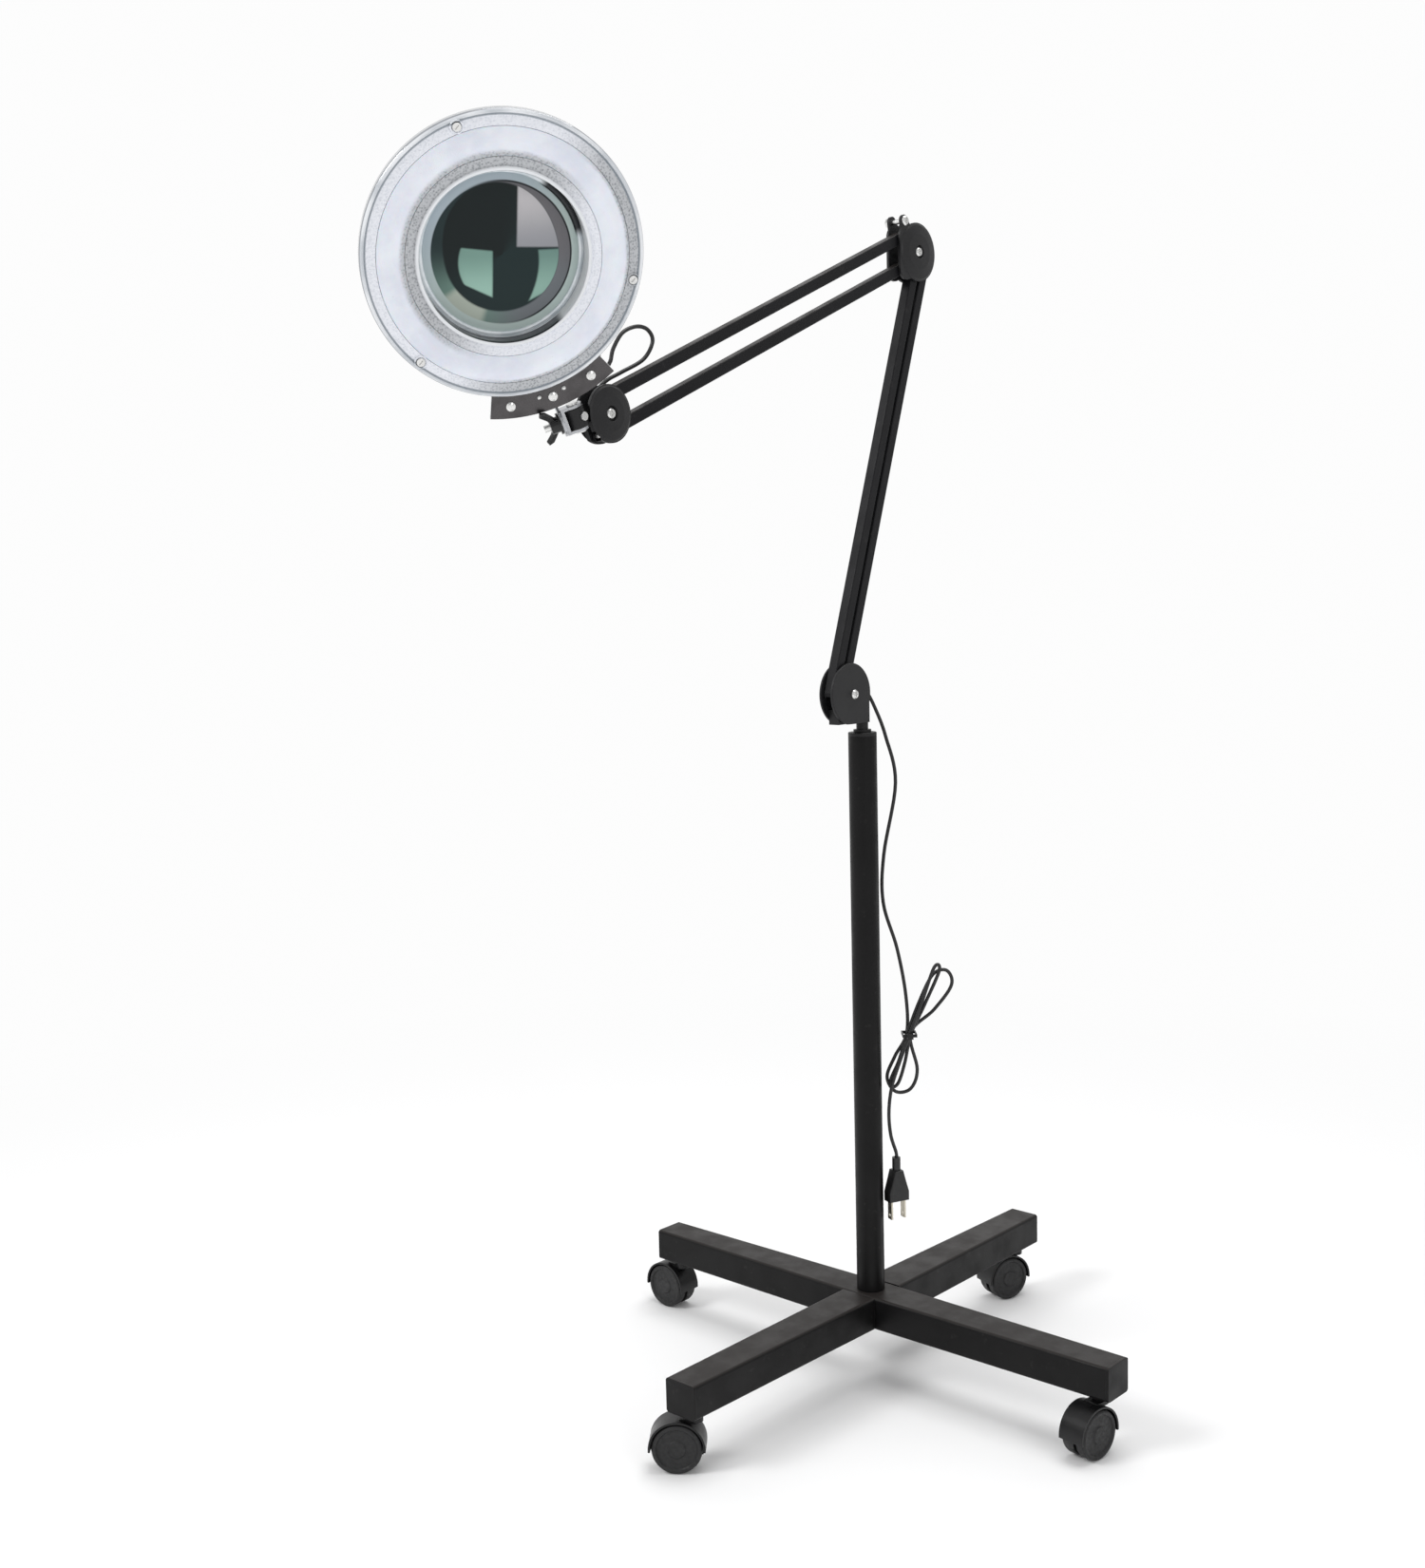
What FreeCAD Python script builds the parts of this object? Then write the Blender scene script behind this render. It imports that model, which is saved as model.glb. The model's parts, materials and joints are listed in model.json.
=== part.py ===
import FreeCAD, Part
import math
import os

# Magnifying lamp on a rolling cross base, in millimetres.
# Frame: origin on the pole's axis at floor level, +Z up. The through beam of the base runs along X.
# The arm folds in the YZ plane and reaches towards -Y. Every arm pivot runs along X.

os.makedirs("parts", exist_ok=True)
V = FreeCAD.Vector
X, Y, Z = V(1, 0, 0), V(0, 1, 0), V(0, 0, 1)

# ---- driving dimensions -------------------------------------------------------------------------

# base
BASE_REACH = 242.0          # pole axis to the end of a leg
LEG_TOP = 76.0
LEG_HEIGHT = 28.0
LEG_END_WIDTH = 30.0
LEG_HUB_WIDTH = 36.0
LEG_WALL = 2.0
LEG_EDGE_R = 2.5
CAP_THICK = 2.5
CASTER_REACH = 226.0        # pole axis to a caster's swivel axis

# casters: direction in which each trails behind its stem, in degrees from +X
CASTER_HEADINGS = {"front": 219.0, "right": 262.0, "rear": 250.0, "left": 180.0}
CASTER_PLACES = {"front": -90.0, "right": 0.0, "rear": 90.0, "left": 180.0}
WHEEL_R = 20.0
WHEEL_WIDTH = 9.5
WHEEL_GAP = 4.0             # between the two wheels of a pair
CASTER_TRAIL = 14.0
STEM_R = 4.0
AXLE_R = 2.5

# pole
POLE_R = 12.0
POLE_WALL = 1.5
POLE_TOP = 560.0
BUSH_FLANGE = 3.0
BUSH_DEPTH = 60.0

# arm
SPIGOT_R = 5.0
ARM_BAR = 9.0               # square bar, outside
BAR_WALL = 1.2
PIN_R = 2.5
RUN = 0.05                  # running clearance on a radius
CHEEK_IN = 5.0              # inner face of a cheek, from the arm's plane
CHEEK_OUT = 7.2
PIN_HALF = 6.4
LOWER_MID = (-34.6, 594.0)  # middle of the lower pivot pair (y, z)
LOWER_PAIR = 12.5           # the lower arm's pivots stand side by side
LOWER_LEN = 375.0
LOWER_ANGLE = 71.3          # degrees from +Y
ELBOW_STEP = (-25.8, 7.8)   # from the lower arm's top pair to the upper arm's pair (y, z)
UPPER_PAIR = 25.0           # the upper arm's pivots stand one above the other
UPPER_LEN = 385.0
UPPER_ANGLE = 203.0
SCREW_R = 2.0
HUB_BOLT_R = 4.0
SPIGOT_TOP = 590.0

# head joints
SWIVEL_AT = V(0, -318.0, 805.5)
SWIVEL_LEAN = 26.0          # the swivel axis leans this far forward from upright
YAW = 52.0                  # how far the head is turned from straight ahead
PITCH = 9.0                 # how far the head leans forward of the swivel axis
BOSS_R = 7.0
BOSS_HALF = 7.0
YOKE_HALF = 5.0             # half the width of the yoke's strap
YOKE_SWEEP = 11.0           # room the turning yoke needs round the swivel axis
YOKE_THICK = 2.0
SWIVEL_PIN_R = 3.0
STUD_R = 2.5
EAR_AT = 10.6               # from the swivel axis to the middle of the tilt ear
EAR_THICK = 2.0
EAR_R = 10.0

# head
HEAD_R = 93.0
HEAD_BACK = -14.0
HEAD_FRONT = 9.5
TILT_DROP = 127.0           # tilt axis to the head's axis
TILT_BACK = -12.0           # the tilt axis lies this far behind the head's middle plane
OPEN_R = 56.0
LENS_R = 54.0
WALL = 2.0
LUG_R = 114.5               # outer radius of the mounting lug and bracket plate
LUG_SPREAD = 23.5           # half the angle the lug spans, degrees
RIVET_RING = 106.0
RIVET_SPREAD = 16.2         # degrees from the middle rivet to an outer one
COVER_SCREW_RING = 87.0
COVER_SCREW_ANGLES = (90.0, 210.0, 330.0)
BOARD_POST_ANGLES = (30.0, 150.0, 270.0)
SWITCH_AT = (0.0, 74.0)     # middle of the rocker, head frame
GLAND_AT = (44.0, -62.0)    # where the cable leaves the head's back, head frame

# cable
CABLE_R = 1.5
CABLE_SIDE = 42.5           # direction of the hanging cable from the pole, degrees from +X
TIE_AT = (36.0, 300.0)      # middle of the cable tie (distance from the pole's axis, height)
PLUG_OUT = 23.5             # plug's centre line from the pole's axis
PLUG_TOP = 192.0
PLUG_TURN = 25.0            # the plug hangs turned this far about its own length, degrees


# ---- shape helpers ------------------------------------------------------------------------------

def rod(start, direction, length, radius):
    """Solid cylinder from start along direction."""
    return Part.makeCylinder(radius, length, start, direction)


def bar_x(y, z, radius, half):
    """Cylinder along X, centred on the arm's plane."""
    return Part.makeCylinder(radius, 2 * half, V(-half, y, z), X)


def box(x0, x1, y0, y1, z0, z1):
    return Part.makeBox(x1 - x0, y1 - y0, z1 - z0, V(x0, y0, z0))


def prism(points, thickness_vector):
    """Closed polygon pushed along a vector."""
    wire = Part.makePolygon(points + [points[0]])
    return Part.Face(wire).extrude(thickness_vector)


def revolve(profile, axis_point=V(0, 0, 0), axis=Z):
    """Solid of revolution from a closed list of (radius, height) points about local Z."""
    points = [V(r, 0, h) for r, h in profile]
    face = Part.Face(Part.makePolygon(points + [points[0]]))
    return face.revolve(axis_point, axis, 360)


def fuse(shapes):
    result = shapes[0]
    for shape in shapes[1:]:
        result = result.fuse(shape)
    return result.removeSplitter()


def cut(shape, tools):
    for tool in tools:
        shape = shape.cut(tool)
    return shape


def axes_placement(origin, x_dir, y_dir, z_dir):
    """Placement that carries local X, Y, Z onto three given directions."""
    m = FreeCAD.Matrix(
        x_dir.x, y_dir.x, z_dir.x, origin.x,
        x_dir.y, y_dir.y, z_dir.y, origin.y,
        x_dir.z, y_dir.z, z_dir.z, origin.z,
        0, 0, 0, 1)
    return FreeCAD.Placement(m)


def placed(shape, placement):
    moved = shape.copy()
    moved.Placement = placement.multiply(moved.Placement)
    return moved


def pipe(points, radius):
    """Eight-sided cable along a smooth curve through a list of points, mitred at every step."""
    curve = Part.BSplineCurve()
    curve.interpolate(points)
    knots = curve.getKnots()
    stops = []
    for low, high in zip(knots, knots[1:]):
        stops += [curve.value(low), curve.value((low + high) / 2)]
    stops.append(curve.value(knots[-1]))
    ways = [(b - a).normalize() for a, b in zip(stops, stops[1:])]
    side = ways[0].cross(Y).normalize()
    up = side.cross(ways[0])
    ring = []
    for i in range(8):
        a = math.radians(45 * i)
        ring.append(stops[0] + (side * math.cos(a) + up * math.sin(a)) * radius)
    faces = [Part.Face(Part.makePolygon(ring + ring[:1]))]
    for i, way in enumerate(ways):
        mitre = way + ways[i + 1] if i + 1 < len(ways) else way
        end = [v + way * ((stops[i + 1] - v).dot(mitre) / way.dot(mitre)) for v in ring]
        for k in range(8):
            n = (k + 1) % 8
            faces.append(Part.Face(Part.makePolygon([ring[k], ring[n], end[n], end[k], ring[k]])))
        ring = end
    faces.append(Part.Face(Part.makePolygon(ring + ring[:1])))
    return Part.Solid(Part.makeShell(faces))


def hull_plate(circles, x0, x1):
    """Plate in the YZ plane round a convex ring of circles (y, z, r), from x0 to x1."""
    parts = []
    for y, z, r in circles:
        parts.append(Part.makeCylinder(r, x1 - x0, V(x0, y, z), X))
    count = len(circles)
    core = []
    for i in range(count):
        y0, z0, r0 = circles[i]
        y1, z1, r1 = circles[(i + 1) % count]
        core.append(V(x0, y0, z0))
        if count == 2 and i == 1:
            break
        span = math.hypot(y1 - y0, z1 - z0)
        along = math.atan2(z1 - z0, y1 - y0)
        lean = math.acos((r0 - r1) / span)
        for side in (1, -1):
            a = along + side * lean
            ny, nz = math.cos(a), math.sin(a)
            quad = [V(x0, y0, z0), V(x0, y0 + r0 * ny, z0 + r0 * nz),
                    V(x0, y1 + r1 * ny, z1 + r1 * nz), V(x0, y1, z1)]
            parts.append(prism(quad, V(x1 - x0, 0, 0)))
    if count > 2:
        parts.append(prism(core, V(x1 - x0, 0, 0)))
    return fuse(parts)


def save(node, shape):
    shape.exportStep("parts/" + node + ".step")


# ---- places worked out from the driving dimensions ----------------------------------------------

def along(mid, length, angle):
    a = math.radians(angle)
    return (mid[0] + length * math.cos(a), mid[1] + length * math.sin(a))


def pair(mid, spacing, upright):
    """The two pivots of a pair, side by side (rear last) or one above the other (top last)."""
    half = spacing / 2
    if upright:
        return (mid[0], mid[1] - half), (mid[0], mid[1] + half)
    return (mid[0] - half, mid[1]), (mid[0] + half, mid[1])


ELBOW_LOW_MID = along(LOWER_MID, LOWER_LEN, LOWER_ANGLE)
ELBOW_UP_MID = (ELBOW_LOW_MID[0] + ELBOW_STEP[0], ELBOW_LOW_MID[1] + ELBOW_STEP[1])
WRIST_MID = along(ELBOW_UP_MID, UPPER_LEN, UPPER_ANGLE)
LOWER_FRONT, LOWER_REAR = pair(LOWER_MID, LOWER_PAIR, False)
ELBOW_FRONT, ELBOW_REAR = pair(ELBOW_LOW_MID, LOWER_PAIR, False)
ELBOW_LOW, ELBOW_TOP = pair(ELBOW_UP_MID, UPPER_PAIR, True)
WRIST_LOW, WRIST_TOP = pair(WRIST_MID, UPPER_PAIR, True)

# the three joint housings: centre of the round cheek (y, z) and its radius
LOWER_DISC = (-22.5, 593.5, 25.5)
ELBOW_DISC = (77.0, 959.0, 24.0)
WRIST_DISC = (-292.0, 808.5, 20.5)
LOWER_SCREW = (-19.5, 593.0)
ELBOW_SCREW = ELBOW_DISC[:2]
WRIST_SCREW = WRIST_DISC[:2]
ELBOW_LUG = (58.5, 982.5)

# swivel axis, forward direction and tilt axis of the head
lean = math.radians(SWIVEL_LEAN)
yaw = math.radians(YAW)
pitch = math.radians(PITCH)
SWIVEL = V(0, -math.sin(lean), math.cos(lean))
AHEAD = V(0, -math.cos(lean), -math.sin(lean))
FACING = AHEAD * math.cos(yaw) + X * math.sin(yaw)
TILT = X * -math.cos(yaw) + AHEAD * math.sin(yaw)
TILT_AT = SWIVEL_AT + TILT * EAR_AT
HEAD_UP = SWIVEL * math.cos(pitch) + FACING * math.sin(pitch)
HEAD_AXIS = FACING * math.cos(pitch) - SWIVEL * math.sin(pitch)
HEAD_AT = TILT_AT + HEAD_UP * TILT_DROP - HEAD_AXIS * TILT_BACK
YOKE_FRAME = axes_placement(SWIVEL_AT, TILT * -1, SWIVEL, FACING)
HEAD_FRAME = axes_placement(HEAD_AT, TILT * -1, HEAD_UP, HEAD_AXIS)


# ---- base ---------------------------------------------------------------------------------------

LEG_LOW = LEG_TOP - LEG_HEIGHT
TUBE_END = BASE_REACH - CAP_THICK
SOCKET_R = STEM_R + 1.7


def half_width(reach):
    """Half the width of a leg at a distance from the pole's axis."""
    return (LEG_HUB_WIDTH + (LEG_END_WIDTH - LEG_HUB_WIDTH) * reach / BASE_REACH) / 2


def leg_prism(start, end, inset):
    """Tapered bar along X from start to end, drawn in from the tube's outside by inset."""
    reaches = sorted({start, end} | ({0.0} if start < 0 < end else set()))
    upper = [V(x, half_width(abs(x)) - inset, LEG_LOW + inset) for x in reaches]
    lower = [V(x, -half_width(abs(x)) + inset, LEG_LOW + inset) for x in reversed(reaches)]
    return prism(upper + lower, V(0, 0, LEG_HEIGHT - 2 * inset))


def round_long_edges(shape, radius):
    """Round the edges that run along X, other than those at the hub."""
    edges = []
    for e in shape.Edges:
        d = e.Vertexes[-1].Point - e.Vertexes[0].Point
        if abs(d.x) > 0.9 * d.Length:
            edges.append(e)
    return shape.makeFillet(radius, edges)


def leg_tube(start, end):
    outer = round_long_edges(leg_prism(start, end, 0), LEG_EDGE_R)
    return outer.cut(leg_prism(start - 1, end + 1, LEG_WALL))


def socket_hole(reach):
    return rod(V(reach, 0, LEG_LOW - 1), Z, LEG_WALL + 2, SOCKET_R + RUN)


def turn_z(shape, degrees):
    turned = shape.copy()
    turned.rotate(V(0, 0, 0), Z, degrees)
    return turned


def base_parts():
    beam = leg_tube(-TUBE_END, TUBE_END)
    beam = cut(beam, [socket_hole(CASTER_REACH), socket_hole(-CASTER_REACH),
                      rod(V(0, 0, LEG_LOW - 1), Z, LEG_HEIGHT + 2, HUB_BOLT_R + 0.2)])
    save("base_beam", beam)
    short = leg_tube(LEG_HUB_WIDTH / 2, TUBE_END).cut(socket_hole(CASTER_REACH))
    save("front_leg", turn_z(short, CASTER_PLACES["front"]))
    save("rear_leg", turn_z(short, CASTER_PLACES["rear"]))
    plate = round_long_edges(leg_prism(TUBE_END, BASE_REACH, 0), LEG_EDGE_R)
    plug = leg_prism(TUBE_END - 7, TUBE_END + 0.5, LEG_WALL + 0.1)
    cap = plate.fuse(plug).removeSplitter()
    save("leg_end_caps", Part.makeCompound([turn_z(cap, a) for a in CASTER_PLACES.values()]))
    sleeve = rod(V(CASTER_REACH, 0, LEG_LOW - 0.8), Z, LEG_HEIGHT - LEG_WALL, SOCKET_R)
    sleeve = sleeve.fuse(rod(V(CASTER_REACH, 0, LEG_LOW - 0.8), Z, 0.8, SOCKET_R + 3))
    sleeve = sleeve.cut(rod(V(CASTER_REACH, 0, LEG_LOW - 2), Z, LEG_HEIGHT + 4, STEM_R + RUN))
    save("caster_sockets", Part.makeCompound([turn_z(sleeve, a) for a in CASTER_PLACES.values()]))
    flange = rod(V(0, 0, LEG_LOW - 1.5), Z, 1.5, 10)
    hexagon = [V(7.5 * math.cos(math.radians(60 * i)), 7.5 * math.sin(math.radians(60 * i)), LEG_LOW - 6.5)
               for i in range(6)]
    bolt = fuse([rod(V(0, 0, LEG_LOW - 1.5), Z, 58, HUB_BOLT_R), flange, prism(hexagon, V(0, 0, 5))])
    save("hub_bolt", bolt)


def pole_parts():
    inner = POLE_R - POLE_WALL
    tube_top = POLE_TOP - BUSH_FLANGE
    tube = rod(V(0, 0, LEG_TOP), Z, tube_top - LEG_TOP, POLE_R)
    tube = tube.cut(rod(V(0, 0, LEG_TOP - 1), Z, tube_top, inner))
    save("pole", tube)
    foot = rod(V(0, 0, LEG_TOP), Z, 30, inner - RUN)
    foot = foot.cut(rod(V(0, 0, LEG_TOP - 1), Z, 32, HUB_BOLT_R + RUN))
    save("pole_foot", foot)
    bush = rod(V(0, 0, tube_top - BUSH_DEPTH), Z, BUSH_DEPTH, inner - RUN)
    flange = rod(V(0, 0, tube_top), Z, BUSH_FLANGE, POLE_R)
    flange = flange.makeFillet(0.8, [flange.Edges[0]])
    bush = bush.fuse(flange).cut(rod(V(0, 0, tube_top - BUSH_DEPTH + 6), Z, BUSH_DEPTH, SPIGOT_R + RUN))
    save("pole_bush", bush)


# ---- casters ------------------------------------------------------------------------------------

def caster_frame(place):
    """Local frame of a caster: origin on the floor under its stem, +X towards the axle."""
    a = math.radians(CASTER_PLACES[place])
    h = math.radians(CASTER_HEADINGS[place])
    origin = V(CASTER_REACH * math.cos(a), CASTER_REACH * math.sin(a), 0)
    return axes_placement(origin, V(math.cos(h), math.sin(h), 0), V(-math.sin(h), math.cos(h), 0), Z)


def along_y(x, z, y0, y1, radius):
    return Part.makeCylinder(radius, y1 - y0, V(x, y0, z), Y)


def caster_hood():
    axle = (CASTER_TRAIL, WHEEL_R)
    half_web = WHEEL_GAP / 2 - 0.4
    half_hood = WHEEL_GAP / 2 + WHEEL_WIDTH
    web = along_y(*axle, -half_web, half_web, WHEEL_R + 1.5)
    web = web.cut(box(-20, 60, -20, 20, -10, WHEEL_R - 8))
    shell = along_y(*axle, -half_hood, half_hood, WHEEL_R + 2.6)
    shell = shell.cut(along_y(*axle, -half_hood - 1, half_hood + 1, WHEEL_R + 1.0))
    shell = shell.cut(box(-20, 60, -20, 20, -10, WHEEL_R - 2))
    boss = rod(V(0, 0, 39.4), Z, LEG_LOW - 1.4 - 39.4, 6.6)
    neck = box(0, 12, -6.6, 6.6, 40.2, 43.0)
    hood = fuse([web, shell, boss, neck])
    stem_bore = rod(V(0, 0, 40.4), Z, 20, STEM_R + 0.02)
    return hood.cut(stem_bore).cut(along_y(*axle, -9, 9, AXLE_R + 0.02))


def caster_stem():
    stem = rod(V(0, 0, 40.6), Z, 31, STEM_R)
    collar = rod(V(0, 0, LEG_LOW - 1.4), Z, 0.5, STEM_R + 1.5)
    axle = along_y(CASTER_TRAIL, WHEEL_R, -10, 10, AXLE_R)
    return Part.makeCompound([stem.fuse(collar).removeSplitter(), axle])


def caster_wheel(side):
    """One wheel of the pair, with a dished outer face and a blind hub."""
    inner = WHEEL_GAP / 2
    outer = inner + WHEEL_WIDTH
    profile = [(0, outer - 0.5), (6.5, outer - 0.5), (7.5, outer - 1.4), (15.5, outer - 1.4),
               (16.5, outer - 0.2), (18.2, outer), (19.4, outer - 0.8), (WHEEL_R, outer - 2.4),
               (WHEEL_R, inner + 1.2), (19.2, inner), (0, inner)]
    wheel = revolve(profile)
    wheel = wheel.cut(rod(V(0, 0, inner - 1), Z, 9.2, AXLE_R + RUN))
    centre = V(CASTER_TRAIL, 0, WHEEL_R)
    return placed(wheel, axes_placement(centre, X, Z * -side, Y * side))


def caster_parts():
    hood, stem = caster_hood(), caster_stem()
    for place in CASTER_PLACES:
        frame = caster_frame(place)
        save("caster_hood_" + place, placed(hood, frame))
        save("caster_stem_axle_" + place, placed(stem, frame))
        save("caster_wheel_a_" + place, placed(caster_wheel(1), frame))
        save("caster_wheel_b_" + place, placed(caster_wheel(-1), frame))


# ---- arm ----------------------------------------------------------------------------------------

def arm_bar(start, end):
    """Hollow square bar between two pivots, its ends rounded about them."""
    dy, dz = end[0] - start[0], end[1] - start[1]
    length = math.hypot(dy, dz)
    half, inside = ARM_BAR / 2, ARM_BAR / 2 - BAR_WALL
    solid = fuse([box(-half, half, 0, length, -half, half),
                  bar_x(0, 0, half, half), bar_x(length, 0, half, half)])
    edges = [e for e in solid.Edges if abs(e.Length - length) < 0.01]
    solid = solid.makeFillet(0.9, edges)
    solid = solid.cut(box(-inside, inside, -ARM_BAR, length + ARM_BAR, -inside, inside))
    solid = cut(solid, [bar_x(0, 0, PIN_R + RUN, ARM_BAR), bar_x(length, 0, PIN_R + RUN, ARM_BAR)])
    solid.rotate(V(0, 0, 0), X, math.degrees(math.atan2(dz, dy)))
    solid.translate(V(0, start[0], start[1]))
    return solid


def pins(places):
    return Part.makeCompound([bar_x(y, z, PIN_R, PIN_HALF) for y, z in places])


def clamp_screw(y, z):
    """Cross-head screw through both cheeks, with a washer face, and its nut on the far side."""
    top = CHEEK_OUT + 0.05
    head = revolve([(0, top), (4.0, top), (4.0, top + 1.0), (3.0, top + 2.2), (0, top + 2.4)])
    head = head.fuse(rod(V(0, 0, -top - 4.2), Z, 2 * top + 4.2, SCREW_R)).removeSplitter()
    slot = [box(-2.2, 2.2, -0.45, 0.45, top + 1.2, top + 3),
            box(-0.45, 0.45, -2.2, 2.2, top + 1.2, top + 3)]
    head = cut(head, slot)
    nut = [V(3.9 * math.cos(math.radians(60 * i)), 3.9 * math.sin(math.radians(60 * i)), -top - 3.2)
           for i in range(6)]
    nut = prism(nut, V(0, 0, 3.2)).cut(rod(V(0, 0, -top - 5), Z, 6, SCREW_R + RUN))
    frame = axes_placement(V(0, y, z), Y, Z, X)
    return [placed(head, frame), placed(nut, frame)]


def cheek_pair(outline, disc, pin_places, holes, dome):
    """Two mirrored cheeks with blind pin sockets; dome adds a crowned outer face on the disc."""
    plate = outline(CHEEK_IN, CHEEK_OUT)
    if dome:
        y, z, r = disc
        crown = revolve([(0, 0), (r - 0.6, 0), (r - 2.0, 0.9), (r * 0.6, 1.9), (5.6, 2.3), (4.8, 0.01),
                         (0, 0.01)])
        crown = placed(crown, axes_placement(V(CHEEK_OUT - 0.01, y, z), Y, Z, X))
        plate = plate.fuse(crown).removeSplitter()
    for y, z in pin_places:
        plate = plate.cut(bar_x(y, z, PIN_R + 0.02, PIN_HALF + 0.1))
    for y, z in holes:
        plate = plate.cut(bar_x(y, z, SCREW_R + 0.1, 20))
    return Part.makeCompound([plate, plate.mirror(V(0, 0, 0), X)])


def lower_outline(x0, x1):
    y, z, r = LOWER_DISC
    disc = Part.makeCylinder(r, x1 - x0, V(x0, y, z), X)
    disc = disc.makeChamfer(0.7, [e for e in disc.Edges if abs(e.CenterOfMass.x - x1) < 0.01])
    heel = box(x0, x1, y, 1.0, 568.5, 600)
    return disc.fuse(heel).cut(box(x0 - 1, x1 + 1, -60, 10, 560, 568.5)).removeSplitter()


def lower_joint_parts():
    low = POLE_TOP - BUSH_DEPTH + 4
    pin = rod(V(0, 0, low), Z, SPIGOT_TOP - low, SPIGOT_R)
    collar = rod(V(0, 0, POLE_TOP + 0.1), Z, 2.2, 7.5)
    tongue = box(-4.9, 4.9, -38, 0, 568.8, 581)
    save("spigot", fuse([pin, collar, tongue]))
    cheeks = cheek_pair(lower_outline, LOWER_DISC, [LOWER_FRONT, LOWER_REAR], [LOWER_SCREW], False)
    save("lower_cheeks", cheeks)
    save("lower_screw", Part.makeCompound(clamp_screw(*LOWER_SCREW)))
    save("lower_pins", pins([LOWER_FRONT, LOWER_REAR]))


def elbow_outline(x0, x1):
    y, z, r = ELBOW_DISC
    disc = Part.makeCylinder(r, x1 - x0, V(x0, y, z), X)
    flange = hull_plate([(ELBOW_LOW[0] + 1, ELBOW_LOW[1] - 1, 8.5), (y, z, 14.0),
                         (ELBOW_TOP[0] + 1, ELBOW_TOP[1] + 1, 8.5)], x0, x1)
    ear = hull_plate([(ELBOW_LUG[0], ELBOW_LUG[1], 5.0), (ELBOW_TOP[0] + 4, ELBOW_TOP[1], 8.0)], x0, x1)
    return fuse([disc, flange, ear])


def elbow_parts():
    places = [ELBOW_FRONT, ELBOW_REAR, ELBOW_LOW, ELBOW_TOP]
    save("elbow_cheeks", cheek_pair(elbow_outline, ELBOW_DISC, places, [ELBOW_SCREW, ELBOW_LUG], True))
    save("elbow_screws", Part.makeCompound(clamp_screw(*ELBOW_SCREW) + clamp_screw(*ELBOW_LUG)))
    save("elbow_pins", pins(places))


def wrist_outline(x0, x1):
    y, z, r = WRIST_DISC
    disc = Part.makeCylinder(r, x1 - x0, V(x0, y, z), X)
    snout = hull_plate([(y, z, 15.0), (-306.0, 801.5, 9.0)], x0, x1)
    clear = rod(SWIVEL_AT - SWIVEL * 40, SWIVEL, 80, YOKE_SWEEP)
    return disc.fuse(snout).cut(clear).removeSplitter()


def wrist_parts():
    cheeks = cheek_pair(wrist_outline, WRIST_DISC, [WRIST_LOW, WRIST_TOP], [WRIST_SCREW], True)
    save("wrist_cheeks", cheeks)
    boss = rod(SWIVEL_AT - SWIVEL * BOSS_HALF, SWIVEL, 2 * BOSS_HALF, BOSS_R)
    tongue = box(-3.2, 3.2, SWIVEL_AT.y, -300.2, 796, 809)
    for way in (SWIVEL, -SWIVEL):
        tongue = tongue.cut(rod(SWIVEL_AT + way * BOSS_HALF, way, 20, YOKE_SWEEP + 1))
    block = boss.fuse(tongue).removeSplitter()
    block = block.cut(rod(SWIVEL_AT - SWIVEL * 20, SWIVEL, 40, SWIVEL_PIN_R + RUN))
    block = block.cut(rod(SWIVEL_AT + X * 3.2, X, 10, 1.52))
    save("wrist_socket", block)
    set_screw = rod(SWIVEL_AT + X * 3.3, X, 3.8, 1.5)
    head = rod(SWIVEL_AT + X * (BOSS_R + 0.05), X, 1.6, 3.0)
    screws = clamp_screw(*WRIST_SCREW) + [set_screw.fuse(head).removeSplitter()]
    save("wrist_screws", Part.makeCompound(screws))
    save("wrist_pins", pins([WRIST_LOW, WRIST_TOP]))


def bars():
    save("lower_front_bar", arm_bar(LOWER_FRONT, ELBOW_FRONT))
    save("lower_rear_bar", arm_bar(LOWER_REAR, ELBOW_REAR))
    save("upper_low_bar", arm_bar(ELBOW_LOW, WRIST_LOW))
    save("upper_top_bar", arm_bar(ELBOW_TOP, WRIST_TOP))


# ---- head swivel, tilt and wing nut -------------------------------------------------------------
# Local frame at the swivel: +X away from the wing nut, +Y up the swivel axis, +Z the way the head faces.

WEB_IN = -BOSS_R - 0.5
WEB_OUT = WEB_IN - YOKE_THICK
FLANGE_IN = BOSS_HALF + 0.25
FLANGE_OUT = FLANGE_IN + YOKE_THICK
NUT_START = -(EAR_AT + EAR_THICK / 2 + 0.4)
NUT_LENGTH = 10.0
STUD_END = NUT_START - NUT_LENGTH - 2.0


def along_local_x(x0, x1, y, z, radius):
    return Part.makeCylinder(radius, x1 - x0, V(x0, y, z), X)


def along_local_y(y0, y1, radius):
    return Part.makeCylinder(radius, y1 - y0, V(0, y0, 0), Y)


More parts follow.
